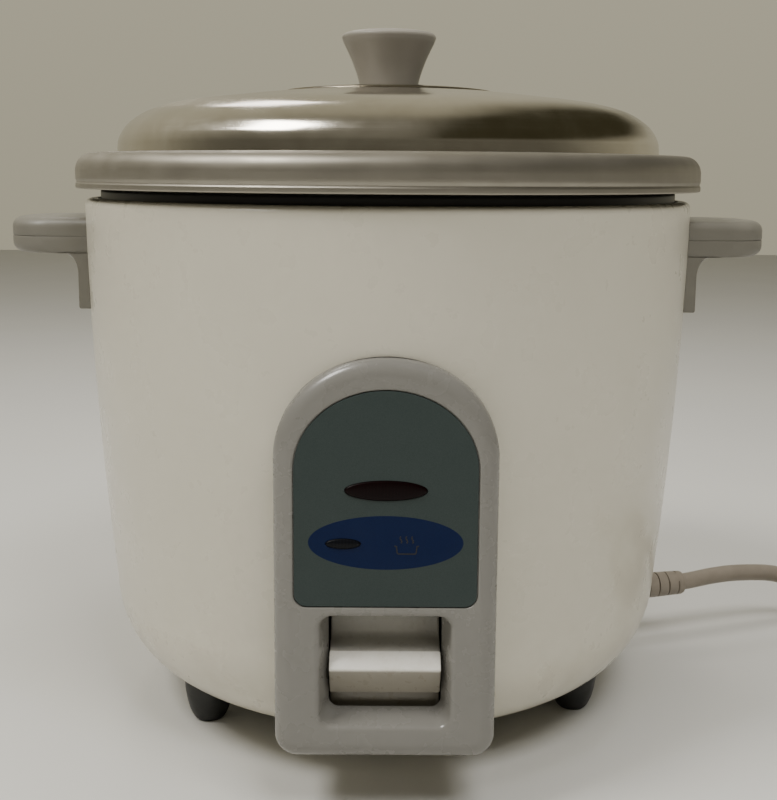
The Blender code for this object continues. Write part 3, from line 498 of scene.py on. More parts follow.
def bright_steel(name="bright_steel", colour=(176, 176, 174), roughness=0.24):
    n = Nodes(name, srgb(*colour), roughness, 1.0)
    n.mottle(2.5, 0.07)
    n.rough(n.ranged(n.noise(1.2, 4.0), roughness - 0.06, roughness + 0.14))
    n.bump(n.noise(0.35, 3.0), 0.004)
    return n.material


def rubbery(name, colour, roughness=0.5, grain=0.45, depth=0.012):
    n = Nodes(name, srgb(*colour), roughness)
    n.mottle(6, 0.07)
    n.rough(n.ranged(n.noise(3, 5.0), roughness - 0.09, roughness + 0.09))
    n.bump(n.noise(grain, 3.0), depth)
    return n.material


def stage_floor():
    n = Nodes("stage_floor", srgb(214, 213, 209), 0.75)
    n.mottle(160, 0.012)
    n.bump(n.noise(3, 4.0), 0.02)
    return n.material


PAINT = shell_paint()
GREY = grey_plastic(colour=(116, 113, 104))
KNOB_GREY = grey_plastic("knob_grey", (143, 138, 129), 0.36)
PANEL = panel_plastic()
FILM = label_film()
RED = lens_plastic("red_lens", (12, 1, 2))
SMOKE = lens_plastic("smoked_lens", (14, 15, 19))
WHITE = white_plastic()
# The lever's face below 58.9 mm, under its ridge, gets painted shade.
LEVER_WHITE = white_plastic("lever_white", 58.9)
STAINLESS = stainless()
ALUMINIUM = spun_aluminium()
CAST = spun_aluminium("cast_aluminium", (168, 166, 160), 0.5, 0.08)
ZINC = sheet_steel()
LINER = liner_steel()
BRIGHT = bright_steel()
ELEMENT = bright_steel("element_sheath", (110, 104, 98), 0.45)
BRASS = bright_steel("plated_brass", (196, 178, 132), 0.28)
BLACK = rubbery("black_foot", (30, 31, 31), 0.48)
PHENOLIC = rubbery("black_phenolic", (34, 33, 33), 0.55)
CORD = rubbery("cord_pvc", (143, 134, 122), 0.42, 0.5, 0.008)
SLEEVE = rubbery("wire_sleeve", (196, 190, 176), 0.6, 0.4, 0.02)
CERAMIC = rubbery("ceramic", (222, 217, 203), 0.35, 1.2, 0.01)
FERRITE = rubbery("ferrite", (46, 46, 48), 0.62, 0.4, 0.01)
GLASS_LAMP = lens_plastic("lamp_glass", (205, 150, 118))
INK = rubbery("label_ink", (4, 5, 7), 0.4, 0.2, 0.002)


# ---------------------------------------------------------------- camera, light and floor


def make_camera():
    """A view from the front, just below the lid's top, looking down a little."""
    pitch, yaw, roll = 0.152, 0.002, -0.007
    forward = Vector((math.sin(yaw) * math.cos(pitch), math.cos(yaw) * math.cos(pitch), -math.sin(pitch)))
    level = Vector((math.cos(yaw), -math.sin(yaw), 0))
    down = forward.cross(level)
    right = level * math.cos(roll) + down * math.sin(roll)
    down = down * math.cos(roll) - level * math.sin(roll)
    data = bpy.data.cameras.new("camera")
    data.lens = 52.4
    data.sensor_width = 36.0
    data.shift_x = -0.001
    data.shift_y = -0.0618
    data.clip_start = 0.01
    camera = bpy.data.objects.new("camera", data)
    axes = Matrix((right, -down, -forward)).transposed().to_4x4()
    camera.matrix_world = Matrix.Translation((0.0, -0.5453, 0.2412)) @ axes
    bpy.context.scene.collection.objects.link(camera)
    bpy.context.scene.camera = camera


def softbox(name, place, target, size, power, colour, reflected=True):
    data = bpy.data.lights.new(name, "AREA")
    data.shape = "RECTANGLE"
    data.size, data.size_y = size
    data.energy = power
    data.color = colour
    light = bpy.data.objects.new(name, data)
    direction = Vector(target) - Vector(place)
    light.location = place
    light.visible_glossy = reflected
    light.rotation_euler = direction.to_track_quat("-Z", "Y").to_euler()
    bpy.context.scene.collection.objects.link(light)


def make_world():
    """Pale wall behind the cooker, a dim room in front, a lighter ceiling and a dark upper right."""
    world = bpy.data.worlds.new("studio")
    world.use_nodes = True
    bpy.context.scene.world = world
    tree = world.node_tree
    background = tree.nodes["Background"]
    background.inputs["Strength"].default_value = 0.85
    place = tree.nodes.new("ShaderNodeTexCoord")
    parts = tree.nodes.new("ShaderNodeSeparateXYZ")
    tree.links.new(place.outputs["Generated"], parts.inputs["Vector"])

    def span(axis, low, high):
        node = tree.nodes.new("ShaderNodeMapRange")
        node.inputs["From Min"].default_value, node.inputs["From Max"].default_value = low, high
        tree.links.new(parts.outputs[axis], node.inputs["Value"])
        return node.outputs["Result"]

    def mixed(factor, first, second):
        node = tree.nodes.new("ShaderNodeMix")
        node.data_type = "RGBA"
        for name, value in (("Factor", factor), ("A", first), ("B", second)):
            socket = node.inputs[name]
            if isinstance(value, (float, tuple)):
                socket.default_value = value
            else:
                tree.links.new(value, socket)
        return node.outputs["Result"]

    ramps = []
    for axis, first, second in (("Y", (50, 47, 34), (206, 199, 172)), ("Z", (78, 75, 62), (196, 191, 174))):
        ramp = tree.nodes.new("ShaderNodeValToRGB")
        ramp.color_ramp.interpolation = "EASE"
        for element, position, colour in zip(ramp.color_ramp.elements, (0.25, 0.85), (first, second)):
            element.position, element.color = position, (*srgb(*colour), 1.0)
        tree.links.new(span(axis, -1.0, 1.0), ramp.inputs["Fac"])
        ramps.append(ramp.outputs["Color"])
    both = tree.nodes.new("ShaderNodeMath")
    both.operation = "MULTIPLY"
    tree.links.new(span("X", 0.14, 0.36), both.inputs[0])
    tree.links.new(span("Z", 0.2, 0.4), both.inputs[1])
    room = mixed(0.4, *ramps)
    shaded = mixed(both.outputs["Value"], room, (*srgb(66, 62, 44), 1.0))
    tree.links.new(shaded, background.inputs["Color"])


def make_stage():
    bm = bmesh.new()
    bmesh.ops.create_grid(bm, x_segments=8, y_segments=8, size=3.0)
    mesh = bpy.data.meshes.new("stage_floor")
    bm.to_mesh(mesh)
    bm.free()
    mesh.materials.append(stage_floor())
    floor = bpy.data.objects.new("stage_floor", mesh)
    bpy.context.scene.collection.objects.link(floor)
    make_world()
    softbox("key", (-0.9, -0.5, 1.5), (0, 0, 0.12), (0.5, 0.5), 19.0, (1.0, 0.98, 0.93))
    softbox("overhead", (0.2, 0.0, 1.4), (0, 0, 0.2), (0.6, 0.5), 6.0, (1.0, 0.98, 0.95), False)
    softbox("fill", (0.5, -0.9, 1.6), (0, 0, 0.15), (0.8, 0.6), 17.0, (1.0, 0.99, 0.96), False)
    softbox("lamp", (-0.34, 0.8, 1.12), (0, 0, 0.25), (0.22, 0.3), 1.3, (1.0, 0.95, 0.92))


# ---------------------------------------------------------------- cord


CORD_R = 4.3
COIL_X, COIL_Y = (COIL_LOW.x + COIL_HIGH.x) / 2, (COIL_LOW.y + COIL_HIGH.y) / 2
CORD_LEAD = [
    (99.7, 26.3, 29.4),
    (113.2, 29.9, 29.4),
    (125.8, 33.2, 29.4),
    (138.3, 36.5, 29.3),
    (149.9, 39.6, 29.2),
    (160.5, 42.6, 29.9),
    (172.5, 46.4, 31.0),
    (184.0, 50.2, 31.2),
    (196.0, 54.5, 30.2),
    (208.0, 59.0, 28.3),
    (218.0, 62.2, 24.9),
    (228.0, 64.4, 19.9),
    (238.0, 65.4, 14.4),
    (248.0, 65.7, 9.6),
    (258.0, 65.2, 6.3),
]
CORD_TAIL = [
    (324.4, -21.0, 5.0),
    (325.4, -28.0, 4.6),
    (325.9, -35.0, 4.5),
    (326.0, -42.0, 4.5),
]
CORD_EXIT = Vector(CORD_LEAD[1])


def coil_points():
    """Three and a third turns: outside and then inside below, inside and then outside on top of them."""
    outside, inside = 51.6, 42.9
    low, high = CORD_R + 0.15, 12.9
    turns, count = 3.312, 106
    points = []
    for i in range(count + 1):
        t = turns * i / count
        angle = math.radians(92) - math.tau * t
        inward = smooth_step((t - 0.7) / 0.28)
        climb = smooth_step((t - 1.42) / 0.28)
        outward = smooth_step((t - 2.22) / 0.3)
        radius = outside + (inside - outside) * (inward - outward) + 9.4 * smooth_step((t - 2.98) / 0.24)
        z = low + (high - low) * climb - (high - 5.4) * smooth_step((t - 3.08) / 0.24)
        z += 0.6 * max(0.0, math.cos(angle + math.pi / 2)) ** 8 * (1 - climb)
        points.append((COIL_X + radius * math.cos(angle), COIL_Y + radius * math.sin(angle), z))
    return points


def make_cord(with_pieces):
    route = CORD_LEAD + coil_points() + CORD_TAIL
    points = flowing(route, 3)
    replaced = ("power_cord", "cord_coil", "cord_tail")
    cord = bar_along("cord", points, CORD_R, CORD, "body", replaced, 5)
    length = sum((Vector(b) - Vector(a)).length for a, b in zip(points, points[1:]))
    print("cord length mm", round(length, 1))


def relief_frame():
    """Matrix in millimetres that puts Z along the cord where it leaves the shell."""
    direction = Vector((math.cos(math.radians(14.8)), math.sin(math.radians(14.8)), 0))
    across = Vector((0, 0, 1)).cross(direction)
    turn = Matrix((across, direction.cross(across), direction)).transposed()
    return Matrix.Translation(CORD_EXIT) @ turn.to_4x4()


def make_strain_relief():
    """Ribbed relief: slits cut into each side by turns leave short webs between its ribs."""
    bore, pitch, steps = CORD_R + 0.1, 5.6, 64
    # Distance along the relief, radius, and the number of the slit or 0.
    stations = [(-15.0, 8.0, 0), (-14.8, 8.2, 0), (-12.7, 8.2, 0), (-12.5, 8.0, 0), (-12.4, 6.4, 0)]
    stations.append((6.0, 6.4, 0))
    ribs = 6
    for i in range(ribs):
        start, crest = 6.6 + pitch * i, 6.9 - 0.14 * i
        stations += [(start - 0.45, crest, 1 + i), (start - 0.3, crest, 0), (start, crest, 0)]
        stations += [(start + 4.2, crest - 0.1, 0), (start + 4.5, crest - 0.15, 0)]
        stations.append((start + 4.65, crest - 0.15, 1 + i))
    last = 6.6 + pitch * ribs
    for along, radius in ((-0.3, 6.1), (2.0, 6.0), (3.0, 5.6), (3.5, 4.9), (3.6, bore)):
        stations.append((last + along, radius, 0))
    stations.insert(0, (-15.0, bore, 0))
    bm = bmesh.new()
    loops = []
    for along, radius, slit in stations:
        loop = []
        for k in range(steps):
            a = math.tau * k / steps
            r = radius
            if slit:
                # A web stands at either side of the relief, moved round by a quarter from rib to rib.
                web = abs(math.cos(a + math.pi / 2 * (slit % 2) + 0.9))
                r = radius - (radius - 4.8) * smooth_step((0.9 - web) / 0.05)
            loop.append((r * math.cos(a), r * math.sin(a), along))
        loops.append(loop)
    rings = loft_into(bm, loops, (False, False))
    for k in range(steps):
        j = (k + 1) % steps
        bm.faces.new((rings[-1][k], rings[-1][j], rings[0][j], rings[0][k]))
    bmesh.ops.transform(bm, matrix=relief_frame(), verts=bm.verts)
    return finished("strain_relief", bm, CORD, "body", ("cord_bush",), 35)


def make_plug():
    low, high = limits("plug_body")
    centre_x, near_y = (low.x + high.x) / 2, high.y
    sections = ((0, 5.2, 4.3), (1, 5.6, 4.5), (6, 5.8, 4.6), (12, 8.2, 5.0), (18, 12.4, 6.0), (21, 13.1, 6.4))
    sections += ((33, 13.2, 6.6), (35.5, 12.9, 6.3), (36.6, 12.2, 5.8), (37, 11.4, 5.2))
    bm = bmesh.new()
    loops = []
    spans = flowing([(a, x, z) for a, x, z in sections], 4)
    for along, half_x, half_z in spans:
        ring = []
        for i in range(48):
            a = math.tau * i / 48
            power = 0.72 if along > 14 else 1.0
            cx, cz = math.cos(a), math.sin(a)
            px = math.copysign(abs(cx) ** power, cx) * half_x
            pz = math.copysign(abs(cz) ** power, cz) * half_z
            ring.append((centre_x + px, near_y - along, half_z + 0.2 + pz if along > 6 else 4.5 + pz))
        loops.append(ring)
    loft_into(bm, loops)
    plug = finished("plug", bm, CORD, "body", ("plug_body",), 50)
    made = [plug]
    for i in (1, 2):
        pin_low, pin_high = limits(f"plug_pin_{i}")
        radius = (pin_high.x - pin_low.x) / 2
        start = Vector(((pin_low.x + pin_high.x) / 2, pin_high.y + 1.5, (pin_low.z + pin_high.z) / 2))
        length = start.y - pin_low.y
        tip = arc((0, length - radius), (radius, radius), 0, 90, 6)
        outline = [(0, 0), (radius, 0), *tip[:-1], (0, length)]
        turn = Vector((0, -1, 0)).to_track_quat("Z", "Y").to_matrix()
        bm = turned_mesh(outline, 24, turn=turn, at=start)
        made.append(finished(f"plug_prong_{i}", bm, BRASS, "body", (f"plug_pin_{i}",)))
    return made


def make_tie():
    """Thin flat strap round the coiled turns."""
    low, high = limits("coil_tie")
    inner_low, inner_high = (low.y + 0.7, low.z + 0.5), (high.y - 0.7, high.z - 0.5)
    x = (low.x + high.x) / 2

    def loop(grow, dx):
        y0, z0, y1, z1 = inner_low[0] - grow, inner_low[1] - grow, inner_high[0] + grow, inner_high[1] + grow
        radius, points = 4.0 + grow, []
        for cy, cz, start in ((y1, z1, 0), (y0, z1, 90), (y0, z0, 180), (y1, z0, 270)):
            sign_y, sign_z = (1 if cy == y1 else -1), (1 if cz == z1 else -1)
            corner = (cy - sign_y * radius, cz - sign_z * radius)
            points += arc(corner, (radius, radius), start, start + 90, 8)
        return [(x + dx, py, pz) for py, pz in points]

    bm = bmesh.new()
    half = 2.2
    loops = [loop(0.0, -half), loop(0.4, -half), loop(0.5, 0), loop(0.4, half), loop(0.0, half)]
    rings = loft_into(bm, loops, (False, False))
    for i in range(len(rings[0])):
        j = (i + 1) % len(rings[0])
        bm.faces.new((rings[-1][i], rings[-1][j], rings[0][j], rings[0][i]))
    return finished("cord_tie", bm, PHENOLIC, "body", ("coil_tie",))


# ---------------------------------------------------------------- shell, liner, pan and lid


def wall_radius(z):
    down = (SHELL_HIGH.z - z) / (SHELL_HIGH.z - SHELL_LOW.z)
    return SHELL_HIGH.x - TAPER * down - BARREL * down * down


def shell_radius(z):
    """Outer radius of the painted shell at any height."""
    if z >= HEEL_Z:
        return wall_radius(z)
    drop = min(1.0, (HEEL_Z - z) / (HEEL_Z - SHELL_LOW.z))
    return wall_radius(HEEL_Z) - HEEL_RADIAL * (1 - math.sqrt(1 - drop * drop))


def cut_away(obj, low, high):
    """Cuts a box-shaped window out of a finished object and leaves no modifier behind."""
    bm = bmesh.new()
    size, middle = Vector(high) - Vector(low), (Vector(high) + Vector(low)) / 2
    place = Matrix.Translation(middle * MM) @ Matrix.Diagonal((*(size * MM), 1))
    bmesh.ops.create_cube(bm, size=1, matrix=place)
    apply_cut(obj, bm)


def apply_cut(obj, bm):
    mesh = bpy.data.meshes.new("cutter")
    bm.to_mesh(mesh)
    bm.free()
    cutter = bpy.data.objects.new("cutter", mesh)
    bpy.context.scene.collection.objects.link(cutter)
    modifier = obj.modifiers.new("cut", "BOOLEAN")
    modifier.object = cutter
    modifier.operation = "DIFFERENCE"
    result = bpy.data.meshes.new_from_object(obj.evaluated_get(bpy.context.evaluated_depsgraph_get()))
    obj.modifiers.clear()
    obj.data = result
    bpy.data.objects.remove(cutter)
    bpy.data.meshes.remove(mesh)
    result.set_sharp_from_angle(angle=math.radians(32))


def make_shell():
    heel = arc((wall_radius(HEEL_Z) - HEEL_RADIAL, HEEL_Z), (HEEL_RADIAL, HEEL_Z - SHELL_LOW.z), -90, 0, 24)
    heights = [HEEL_Z + (SHELL_HIGH.z - SHOULDER_R - HEEL_Z) * i / 22 for i in range(1, 23)]
    wall = [(wall_radius(z), z) for z in heights]
    shoulder = arc((wall[-1][0] - SHOULDER_R, SHELL_HIGH.z - SHOULDER_R), (SHOULDER_R,) * 2, 0, 90, 9)[1:]
    surface = [(72.0, SHELL_LOW.z), *heel, *wall, *shoulder, (131.4, SHELL_HIGH.z), (131.0, SHELL_HIGH.z - 0.3)]
    outline = surface + offset(surface, SHELL_WALL)[::-1]
    shell = finished("painted_shell", turned_mesh(outline), PAINT, "body", ("outer_body",))
    cut_away(shell, (-23.5, -150, 31), (23.5, -95, 84))
    cut_away(shell, (-28, -150, 98), (28, -110, 140))
    bm = turned_mesh([(0, -25), (6.9, -25), (6.9, 15), (0, 15)], 32)
    bmesh.ops.transform(bm, matrix=relief_frame(), verts=bm.verts)
    bmesh.ops.scale(bm, vec=(MM, MM, MM), verts=bm.verts)
    apply_cut(shell, bm)


def make_liner():
    wall, floor = 0.6, LINER_LOW.z
    outer, rim = 121.3, LINER_HIGH.x
    surface = [(58, floor), *arc((outer - 10, floor + 10), (10, 10), -90, 0, 10), (outer, LINER_HIGH.z - 5)]
    surface += [(outer + 0.4, LINER_HIGH.z - 2.2), (outer + 2.0, LINER_HIGH.z - wall)]
    fold = [(rim - wall - 0.6, LINER_HIGH.z - wall), (rim - wall, LINER_HIGH.z - wall - 0.6)]
    fold += [(rim - wall, LINER_HIGH.z - 7.0), (rim, LINER_HIGH.z - 7.0)]
    fold += arc((rim - 1.8, LINER_HIGH.z - 1.8), (1.8, 1.8), 0, 90, 6)
    inside = offset([p for p in surface], wall)[::-1]
    outline = surface + fold + inside
    finished("liner", turned_mesh(outline), LINER, "body", ("inner_liner",))


def make_pan():
    wall, floor, outer = 1.6, PAN_LOW.z, 117.8
    crest, rim = PAN_HIGH.z, PAN_HIGH.x
    lip_low = 233.5
    surface = [(0, floor), *arc((outer - 20, floor + 20), (20, 20), -90, 0, 12)]
    bend = [(outer + 0.4, crest - 7.0), (outer + 0.8, crest - 5.1), (outer + 2.4, crest - 4.0)]
    bend += [(124.6, crest - 3.9), (128.4, crest - 2.9), (131.6, crest - 1.75), (133.9, crest - 1.6), (136.1, crest - 2.5)]
    bend += [(137.7, crest - 4.4), (138.45, crest - 6.9), (138.5, crest - 9.4), (138.5, lip_low + 0.5)]
    surface += flowing(bend, 4)
    inside = offset(surface, wall)[::-1]
    inside[-1] = (0, inside[-1][1])
    # The lip's edge is curled into a narrow bead below a shallow groove.
    bead = [(138.9, lip_low), (rim - 0.3, lip_low + 0.1), (rim, lip_low + 0.5), (rim, lip_low + 2.1)]
    bead += [(rim - 0.35, lip_low + 2.6), (rim - 0.5, lip_low + 3.0), (rim - 0.15, lip_low + 3.8)]
    above = [p for p in inside if not (p[0] > rim - 1.2 and p[1] < lip_low + 4.2)]
    outline = surface + rounded(bead, 0.4, 3) + [(min(r, rim - 0.02), z) for r, z in above]
    finished("pan_with_flange", turned_mesh(outline), ALUMINIUM, "pan", ("inner_pan",))


def lid_surface():
    rim, top = LID_HIGH.x, LID_HIGH.z
    points = [(rim - 0.1, 251.0), (rim - 0.4, 254.0), (rim - 1.9, 257.6), (rim - 5.6, 262.2)]
    points += [(rim - 13.8, 267.3), (rim - 26, 270.7), (rim - 44, 273.2), (rim - 62, 275.4), (rim - 73, 276.4), (48.0, 276.9)]
    points += [(45.0, 277.35), (41.5, 278.0), (38.0, 278.3), (28.0, top - 0.1), (16.0, top - 0.02), (12.0, top)]
    return points


def make_lid():
    rim, low, wall = LID_HIGH.x, LID_LOW.z, 0.6
    surface = [(rim, low + 1.1), (rim, 248.6), *flowing(lid_surface(), 5), (2.6, LID_HIGH.z)]
    outline = surface + offset(surface, wall)[::-1]
    # The lower edge is hemmed inwards.
    inner = rim - wall - 1.0
    hem = [(rim - wall, low + 1.1), (inner, low + 0.9), (inner, low + 0.1), (rim - 0.5, low)]
    finished("lid_dome", turned_mesh(outline + rounded(hem, 0.4, 3)), STAINLESS, "lid", ("lid",))
    base, top = KNOB_LOW.z, KNOB_HIGH.z
    side = [(13.1, base + 0.5), (14.2, base + 5), (15.3, base + 8.4), (16.9, base + 12.6), (18.7, base + 16.6)]
    side += [(20.5, base + 20.2), (21.2, base + 22.0)]
    crown = [(21.4, base + 22.5), (21.35, base + 23.1), (21.0, base + 23.7), (19.4, base + 24.7)]
    crown += [(12.5, base + 25.7), (6.0, top - 0.08), (0, top)]
    outline = [(0, base + 12.5), (2.3, base + 12.5), (2.3, base), (12.6, base)]
    outline += [*flowing(side, 6), *flowing(crown, 5)]
    outline[-1] = (0, top)
    finished("knob", turned_mesh(outline, 96), KNOB_GREY, "lid", ("lid_knob",))


# ---------------------------------------------------------------- handles and feet


def handle_loop(z, reach, inset_x, inset_y):
    """The handle's outline at height z. reach goes from 0 at the plate on the shell to 1 at the tip."""
    half = HANDLE_HIGH.y - inset_y
    tip = HANDLE_HIGH.x

    def outer_x(y):
        plate = math.sqrt(PLATE_X**2 - y * y) - min(inset_x, 1.0)
        curve = max(0.0, 1 - (abs(y) / (half + 0.6)) ** 3) ** (1 / 3)
        ledge = PLATE_X + (tip - PLATE_X) * curve - inset_x
        return plate + reach * (max(ledge, plate) - plate)

    def shell_x(y):
        return math.sqrt((shell_radius(z) + SEAT) ** 2 - y * y)

    side = 10
    loop = []
    for i in range(side):
        loop.append((shell_x(half) + (outer_x(half) - shell_x(half)) * i / side, -half, z))
    for i in range(41):
        y = -half * math.cos(math.pi * i / 40)
        loop.append((outer_x(y), y, z))
    for i in range(side):
        loop.append((outer_x(half) + (shell_x(half) - outer_x(half)) * (i + 1) / side, half, z))
    for i in range(1, 20):
        y = half * math.cos(math.pi * i / 20)
        loop.append((shell_x(y), y, z))
    return loop


def make_handles():
    low, high, plate_low = 204.9, HANDLE_HIGH.z, HANDLE_LOW.z
    fillet, edge, seam = 9.0, 4.5, 212.3
    depth = HANDLE_HIGH.x - PLATE_X
    rows = [(plate_low, 0.0, 0.9, 0.9), (plate_low + 0.3, 0.0, 0.3, 0.3), (plate_low + 1.0, 0.0, 0.0, 0.0)]
    rows += [(z, 0.0, 0.0, 0.0) for z in (186.0, 191.0)]
    for i in range(9):
        a = math.radians(90 * i / 8)
        rows.append((low - fillet + fillet * math.sin(a), fillet * (1 - math.cos(a)) / depth, 0.0, 0.0))
    rows.append((low, 0.55, 0.6, 0.2))
    for i in range(7):
        a = math.radians(90 * i / 6)
        rows.append((low + edge * (1 - math.cos(a)), 1.0, edge * (1 - math.sin(a)), 0.8 * (1 - math.sin(a))))
    rows += [(seam - 0.45, 1.0, 0.0, 0.0), (seam - 0.25, 1.0, 0.06, 0.06), (seam, 1.0, 0.32, 0.32)]
    rows += [(seam + 0.25, 1.0, 0.06, 0.06), (seam + 0.45, 1.0, 0.0, 0.0)]
    for i in range(9):
        a = math.radians(90 * i / 8)
        inset = edge * (1 - math.cos(a))
        rows.append((high - edge * (1 - math.sin(a)), 1.0, inset, inset))
    for side, mirror in (("left", -1), ("right", 1)):
        bm = bmesh.new()
        loops = [[(mirror * x, y, pz) for x, y, pz in handle_loop(*row)] for row in rows]
        loft_into(bm, loops)
        finished(f"{side}_handle", bm, GREY, "body", (f"handle_{side}",), 28)


def make_feet():
    for where in ("front_left", "front_right", "rear"):
        low, high = limits(f"foot_{where}")
        x, y = (low.x + high.x) / 2, (low.y + high.y) / 2
        side = flowing([(5.8, 0.05), (7.2, 1.6), (8.8, 5.2), (9.9, 9.6), (10.7, 14.5)], 5)
        outline = [(2.4, 16), (2.4, 6.5), (4.1, 6.5), (4.2, 6.3), (4.2, 0.2), (4.4, 0.0), *side, (10.7, 16)]
        bm = turned_mesh(outline, 64, (x, y))
        for v in bm.verts:
            if v.co.z > 15:
                r = Vector((v.co.x, v.co.y)).length
                drop = min(1.0, max(0.0, (r - (wall_radius(HEEL_Z) - HEEL_RADIAL)) / HEEL_RADIAL))
                v.co.z = HEEL_Z - (HEEL_Z - SHELL_LOW.z) * math.sqrt(1 - drop * drop) - SEAT
        finished(f"{where}_foot", bm, BLACK, "body", (f"foot_{where}",))


def screw_mesh(start, direction, length, shank=1.9):
    """Pan-head screw with a cross recess; start is the underside of its head."""
    head = rounded([(0, -2.6), (2.4, -2.5), (3.7, -1.4), (3.9, -0.3), (3.8, 0.0)], 0.8, 3)
    threads = []
    count = int((length - 1.5) / 0.7)
    for i in range(count):
        z = 0.8 + 0.7 * i
        threads += [(shank - 0.35, z), (shank, z + 0.3), (shank - 0.05, z + 0.4)]
    outline = head + [(shank, 0.05), (shank, 0.6)] + threads + [(shank - 0.4, length - 0.4), (0, length)]
    turn = Vector(direction).to_track_quat("Z", "Y").to_matrix()
    bm = turned_mesh(outline, 28)
    for v in bm.verts:
        across = min(abs(v.co.x), abs(v.co.y))
        reach = max(abs(v.co.x), abs(v.co.y))
        if v.co.z < -2.2 and across < 0.6 and reach < 2.2:
            v.co.z += 0.9
    bmesh.ops.transform(bm, matrix=Matrix.Translation(start) @ turn.to_4x4(), verts=bm.verts)
    return bm


def make_screws():
    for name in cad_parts:
        if not name.startswith(("base_screw", "foot_screw", "handle_screw", "knob_screw")):
            continue
        low, high = limits(name)
        middle = (low + high) / 2
        if name.startswith("handle"):
            side = 1 if middle.x > 0 else -1
            start = Vector((side * (min(abs(low.x), abs(high.x)) + 2.6), middle.y, middle.z))
            direction, length = (side, 0, 0), high.x - low.x - 2.6
        else:
            start = Vector((middle.x, middle.y, low.z + 2.6))
            direction, length = (0, 0, 1), high.z - low.z - 2.6
        body = "lid" if name.startswith("knob") else "body"
        bm = screw_mesh(start, direction, length)
        finished(name + "_threaded", bm, BRIGHT, body, (name,), 40)


# ---------------------------------------------------------------- front panel


def arch(half, low_z, spring_z, rise, corner):
    """Outline in (x, z) of a panel with rounded lower corners and an elliptical top."""
    corner = max(corner, 0.4)
    outline = arc((-half + corner, low_z + corner), (corner, corner), 180, 270, 10)
    outline += [(-half + corner + (2 * half - 2 * corner) * i / 12, low_z) for i in range(1, 12)]
    outline += arc((half - corner, low_z + corner), (corner, corner), 270, 360, 10)
    outline += [(half, low_z + corner + (spring_z - low_z - corner) * i / 24) for i in range(1, 24)]
    outline += arc((0, spring_z), (half, rise), 0, 180, 64)
    outline += [(-half, spring_z - (spring_z - low_z - corner) * i / 24) for i in range(1, 24)]
    return outline


def at_depth(outline, y):
    return [(x, y, z) for x, z in outline]


def panel_outline(inset):
    spring = 139.3
    rise = PANEL_HIGH.z - spring - inset
    return arch(PANEL_HIGH.x - inset, PANEL_LOW.z + inset, spring, rise, 8.5 - inset)


def recess_outline(depth, grow):
    """The lever's recess narrows towards its floor, and its lower side is a sloped ledge."""
    t = depth / 10.9
    half, low, high = 24.6 - 3.4 * t + grow, 37.3 + 3.9 * t - grow, 80.7 - 0.5 * t + grow
    radius = 5.0 - 1.0 * t + grow
    points = []
    for x, z, start in ((half, high, 0), (-half, high, 90), (-half, low, 180), (half, low, 270)):
        corner = (x - math.copysign(radius, x), z - (radius if z == high else -radius))
        points += arc(corner, (radius, radius), start, start + 90, 12)
    return points


def oval(low, high, grow, steps=48):
    centre = (low + high) / 2
    half_x, half_z = (high.x - low.x) / 2 - 1.5 + grow, (high.z - low.z) / 2 - 1.5 + grow
    return arc((centre.x, centre.z), (half_x, half_z), 0, 360, steps)[:-1]


def make_panel():
    face_y = PANEL_FACE_Y
    edge_x, edge_y = 6.6, 5.0
    wall, pocket_depth = 2.7, 1.25
    bm = bmesh.new()
    loops = []
    rear_inside = [(x, -math.sqrt((shell_radius(z) + SEAT) ** 2 - x * x), z) for x, z in panel_outline(wall)]
    rear = [(x, -math.sqrt((shell_radius(z) + SEAT) ** 2 - x * x), z) for x, z in panel_outline(0.0)]
    loops = [rear_inside, rear]
    loops.append([(x, min(y - 1.5, face_y + edge_y + 6), z) for x, y, z in rear])
    for i in range(13):
        a = math.radians(90 * i / 12)
        loops.append(at_depth(panel_outline(edge_x * (1 - math.cos(a))), face_y + edge_y * (1 - math.sin(a))))
    rings = loft_into(bm, loops, (False, False))
    front = rings[-1]

    grow = 0.35
    label_loop = arch(LABEL_HIGH.x + grow, LABEL_LOW.z - grow, 135.6, LABEL_HIGH.z - 135.6 + grow, 4.5 + grow)
    lip = []
    for i in range(4):
        a = math.radians(30 * i)
        r = 0.7
        spread = grow + r * (1 - math.sin(a))
        outline = arch(
            LABEL_HIGH.x + spread, LABEL_LOW.z - spread, 135.6, LABEL_HIGH.z - 135.6 + spread, 4.5 + spread
        )
        lip.append(at_depth(outline, face_y + r * (1 - math.cos(a))))
    lip.append(at_depth(label_loop, face_y + pocket_depth))
    pocket = loft_into(bm, lip, (False, False))

    well = []
    r = 1.6
    for i in range(7):
        a = math.radians(15 * i)
        depth = r * (1 - math.cos(a))
        well.append(at_depth(recess_outline(depth, r * (1 - math.sin(a))), face_y + depth))
    for depth in (4.0, 7.0, 10.9):
        well.append(at_depth(recess_outline(depth, 0), face_y + depth))
    well.append(at_depth(recess_outline(10.9, 2.0), face_y + 10.9))
    well.append(at_depth(recess_outline(6.0, 2.4), face_y + wall))
    recess = loft_into(bm, well, (False, False))
    fill_between(bm, [front, pocket[0], recess[0]])

    holes = []
    for low, high in ((WARM_LOW, WARM_HIGH), (COOK_LOW, COOK_HIGH)):
        outline = oval(low, high, 0.15)
        loops = [at_depth(outline, face_y + d) for d in (pocket_depth, wall)]
        holes.append(loft_into(bm, loops, (False, False)))
    fill_between(bm, [pocket[-1], holes[0][0], holes[1][0]])
    cavity = loft_into(bm, [at_depth(panel_outline(wall + 1.5), face_y + wall)], (False, False))
    fill_between(bm, [cavity[0], recess[-1], holes[0][-1], holes[1][-1]])
    inner = rings[0]
    count = len(inner)
    for i in range(count):
        j = (i + 1) % count
        bm.faces.new((cavity[0][i], cavity[0][j], inner[j], inner[i]))
    finished("front_housing", bm, PANEL, "body", ("panel_housing",), 38)


